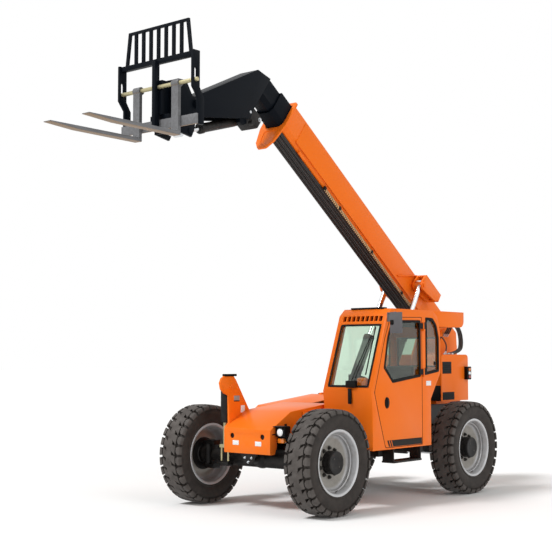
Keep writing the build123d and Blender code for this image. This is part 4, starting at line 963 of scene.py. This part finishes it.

# Nylon spiral guard: cream plastic wound in turns; the dark brown band between its turns is painted shade
# over the hoses it covers.
spiral, tree, here = material("wound_cream_nylon_guard")
turns = node(tree, "TexWave", {"Vector": here, "Scale": 11.0, "Distortion": 0.0}, bands_direction="X")
turn_and_gap_shade = node(tree, "MapRange", {"Value": turns, "From Min": 0.35, "From Max": 0.6})
colour = node(tree, "Mix", {0: turn_and_gap_shade, 6: tone("#4A3326"), 7: tone("#D9B27E")}, data_type="RGBA")
finish(tree, {"Base Color": colour, "Roughness": 0.5, "Specular IOR Level": 0.25,
              "Normal": node(tree, "Bump", {"Height": turns, "Strength": 0.5, "Distance": 0.003})})
plate("boom_spiral_guard", on_boom(2.22, -0.112, 0.152), (2.72, 0.026, 0.040), spiral, 0.010,
      body=outer_body, turn=boom_turn)
for index, along in enumerate((1.36, 2.27, 3.18, 3.58)):
    plate(f"boom_guard_clip_{index}", on_boom(along, -0.107, 0.153), (0.045, 0.034, 0.048), nylon, 0.006,
          body=outer_body, turn=boom_turn)
plate("boom_guard_bracket", on_boom(4.20, -0.100, 0.158), (0.13, 0.010, 0.05), orange, 0.003,
      body=outer_body, turn=boom_turn)

# A black sheave block hangs behind the head, with its pin bolts, and a guide roller below it.
plate("sheave_block", on_boom(5.14, -0.335, 0.0), (0.25, 0.280, 0.17), cast_black, 0.020, body=head_body,
      turn=boom_turn)
pin_bolts = bmesh.new()
for x, z in ((1.959, 4.908), (1.774, 4.838)):
    bolt_head(pin_bolts, (x, 0.1395, z), (0, 1, 0), 0.020, 0.012)
piece("sheave_pin_bolts", pin_bolts, head_body, zinc_bright)
roller = bmesh.new()
bmesh.ops.create_cone(roller, cap_ends=True, segments=24, radius1=0.034, radius2=0.030, depth=0.06,
                      matrix=Matrix.Translation((1.950, 0.160, 4.773)) @ Matrix.Rotation(math.pi / 2, 4, "X"))
piece("head_guide_roller", roller, head_body, cast_black)

# ---- rams ---------------------------------------------------------------------------------------------
# Hydraulic cylinders: cold-drawn tube barrels in black enamel with forged eyes, and ground rods plated in
# hard chrome. Pins hold them to the frame, the boom and the carriage.
for name in ("lift_barrel_left", "lift_barrel_right", "tilt_barrel", "sway_barrel"):
    rounded(name, f"{name}_drawn", 0.004, cast_black)
for name in ("lift_rod_left", "lift_rod_right", "tilt_rod"):
    coat(name, chrome)

# Yellow chromate on zinc: pale gold metal with a faint rainbow blotch, on links and the fork shaft.
zinc_gold, tree, here = material("yellow_chromated_zinc")
finish(tree, {"Base Color": mottled(tree, here, 16, 5, "#C8C09A", "#B0A67F"), "Metallic": 0.6,
              "Roughness": 0.4})
coat("sway_rod", zinc_gold)

# ---- carriage and forks -------------------------------------------------------------------------------
# A carriage welded of plate and bar in blue-black enamel, with a bar backrest. Two forged forks hang on a
# plated shaft and lean on a machined rail.
for name, edge in (("coupler", 0.005), ("carriage_frame", 0.004)):
    rounded(name, f"{name}_welded", edge, navy)
rounded("fork_shaft", "fork_shaft_turned", 0.004, zinc_gold)

# Forged fork steel: neutral grey scale, rubbed bright in streaks along the blade, and a thin tan on the faces
# that look down.
fork_steel, tree, here = material("scaled_forged_fork_steel")
lengthwise = node(tree, "Mapping", {"Vector": here, "Scale": (0.12, 1, 1)})
streak = node(tree, "TexNoise", {"Vector": lengthwise, "Scale": 30, "Detail": 6, "Roughness": 0.6})
rubbed = node(tree, "MapRange", {"Value": streak, "From Min": 0.4, "From Max": 0.7})
scale_colour = node(tree, "Mix", {0: rubbed, 6: tone("#69696B"), 7: tone("#77787B")}, data_type="RGBA")
looks_up = node(tree, "SeparateXYZ", {0: node(tree, "NewGeometry").outputs["Normal"]}).outputs[2]
tan_below = node(tree, "MapRange", {"Value": looks_up, "From Min": -0.3, "From Max": -0.9, "To Min": 0.0,
                                "To Max": 0.85})
colour = node(tree, "Mix", {0: tan_below, 6: scale_colour, 7: tone("#8F7659")}, data_type="RGBA")
finish(tree, {"Base Color": colour, "Metallic": 0.15, "Roughness": 0.5, "Specular IOR Level": 0.35,
              "Normal": node(tree, "Bump", {"Height": streak, "Strength": 0.2, "Distance": 0.001})})
rounded("fork_rail", "fork_rail_machined", 0.003, fork_steel)
for name in ("fork_left", "fork_right"):
    rounded(name, f"{name}_forged", 0.005, fork_steel)
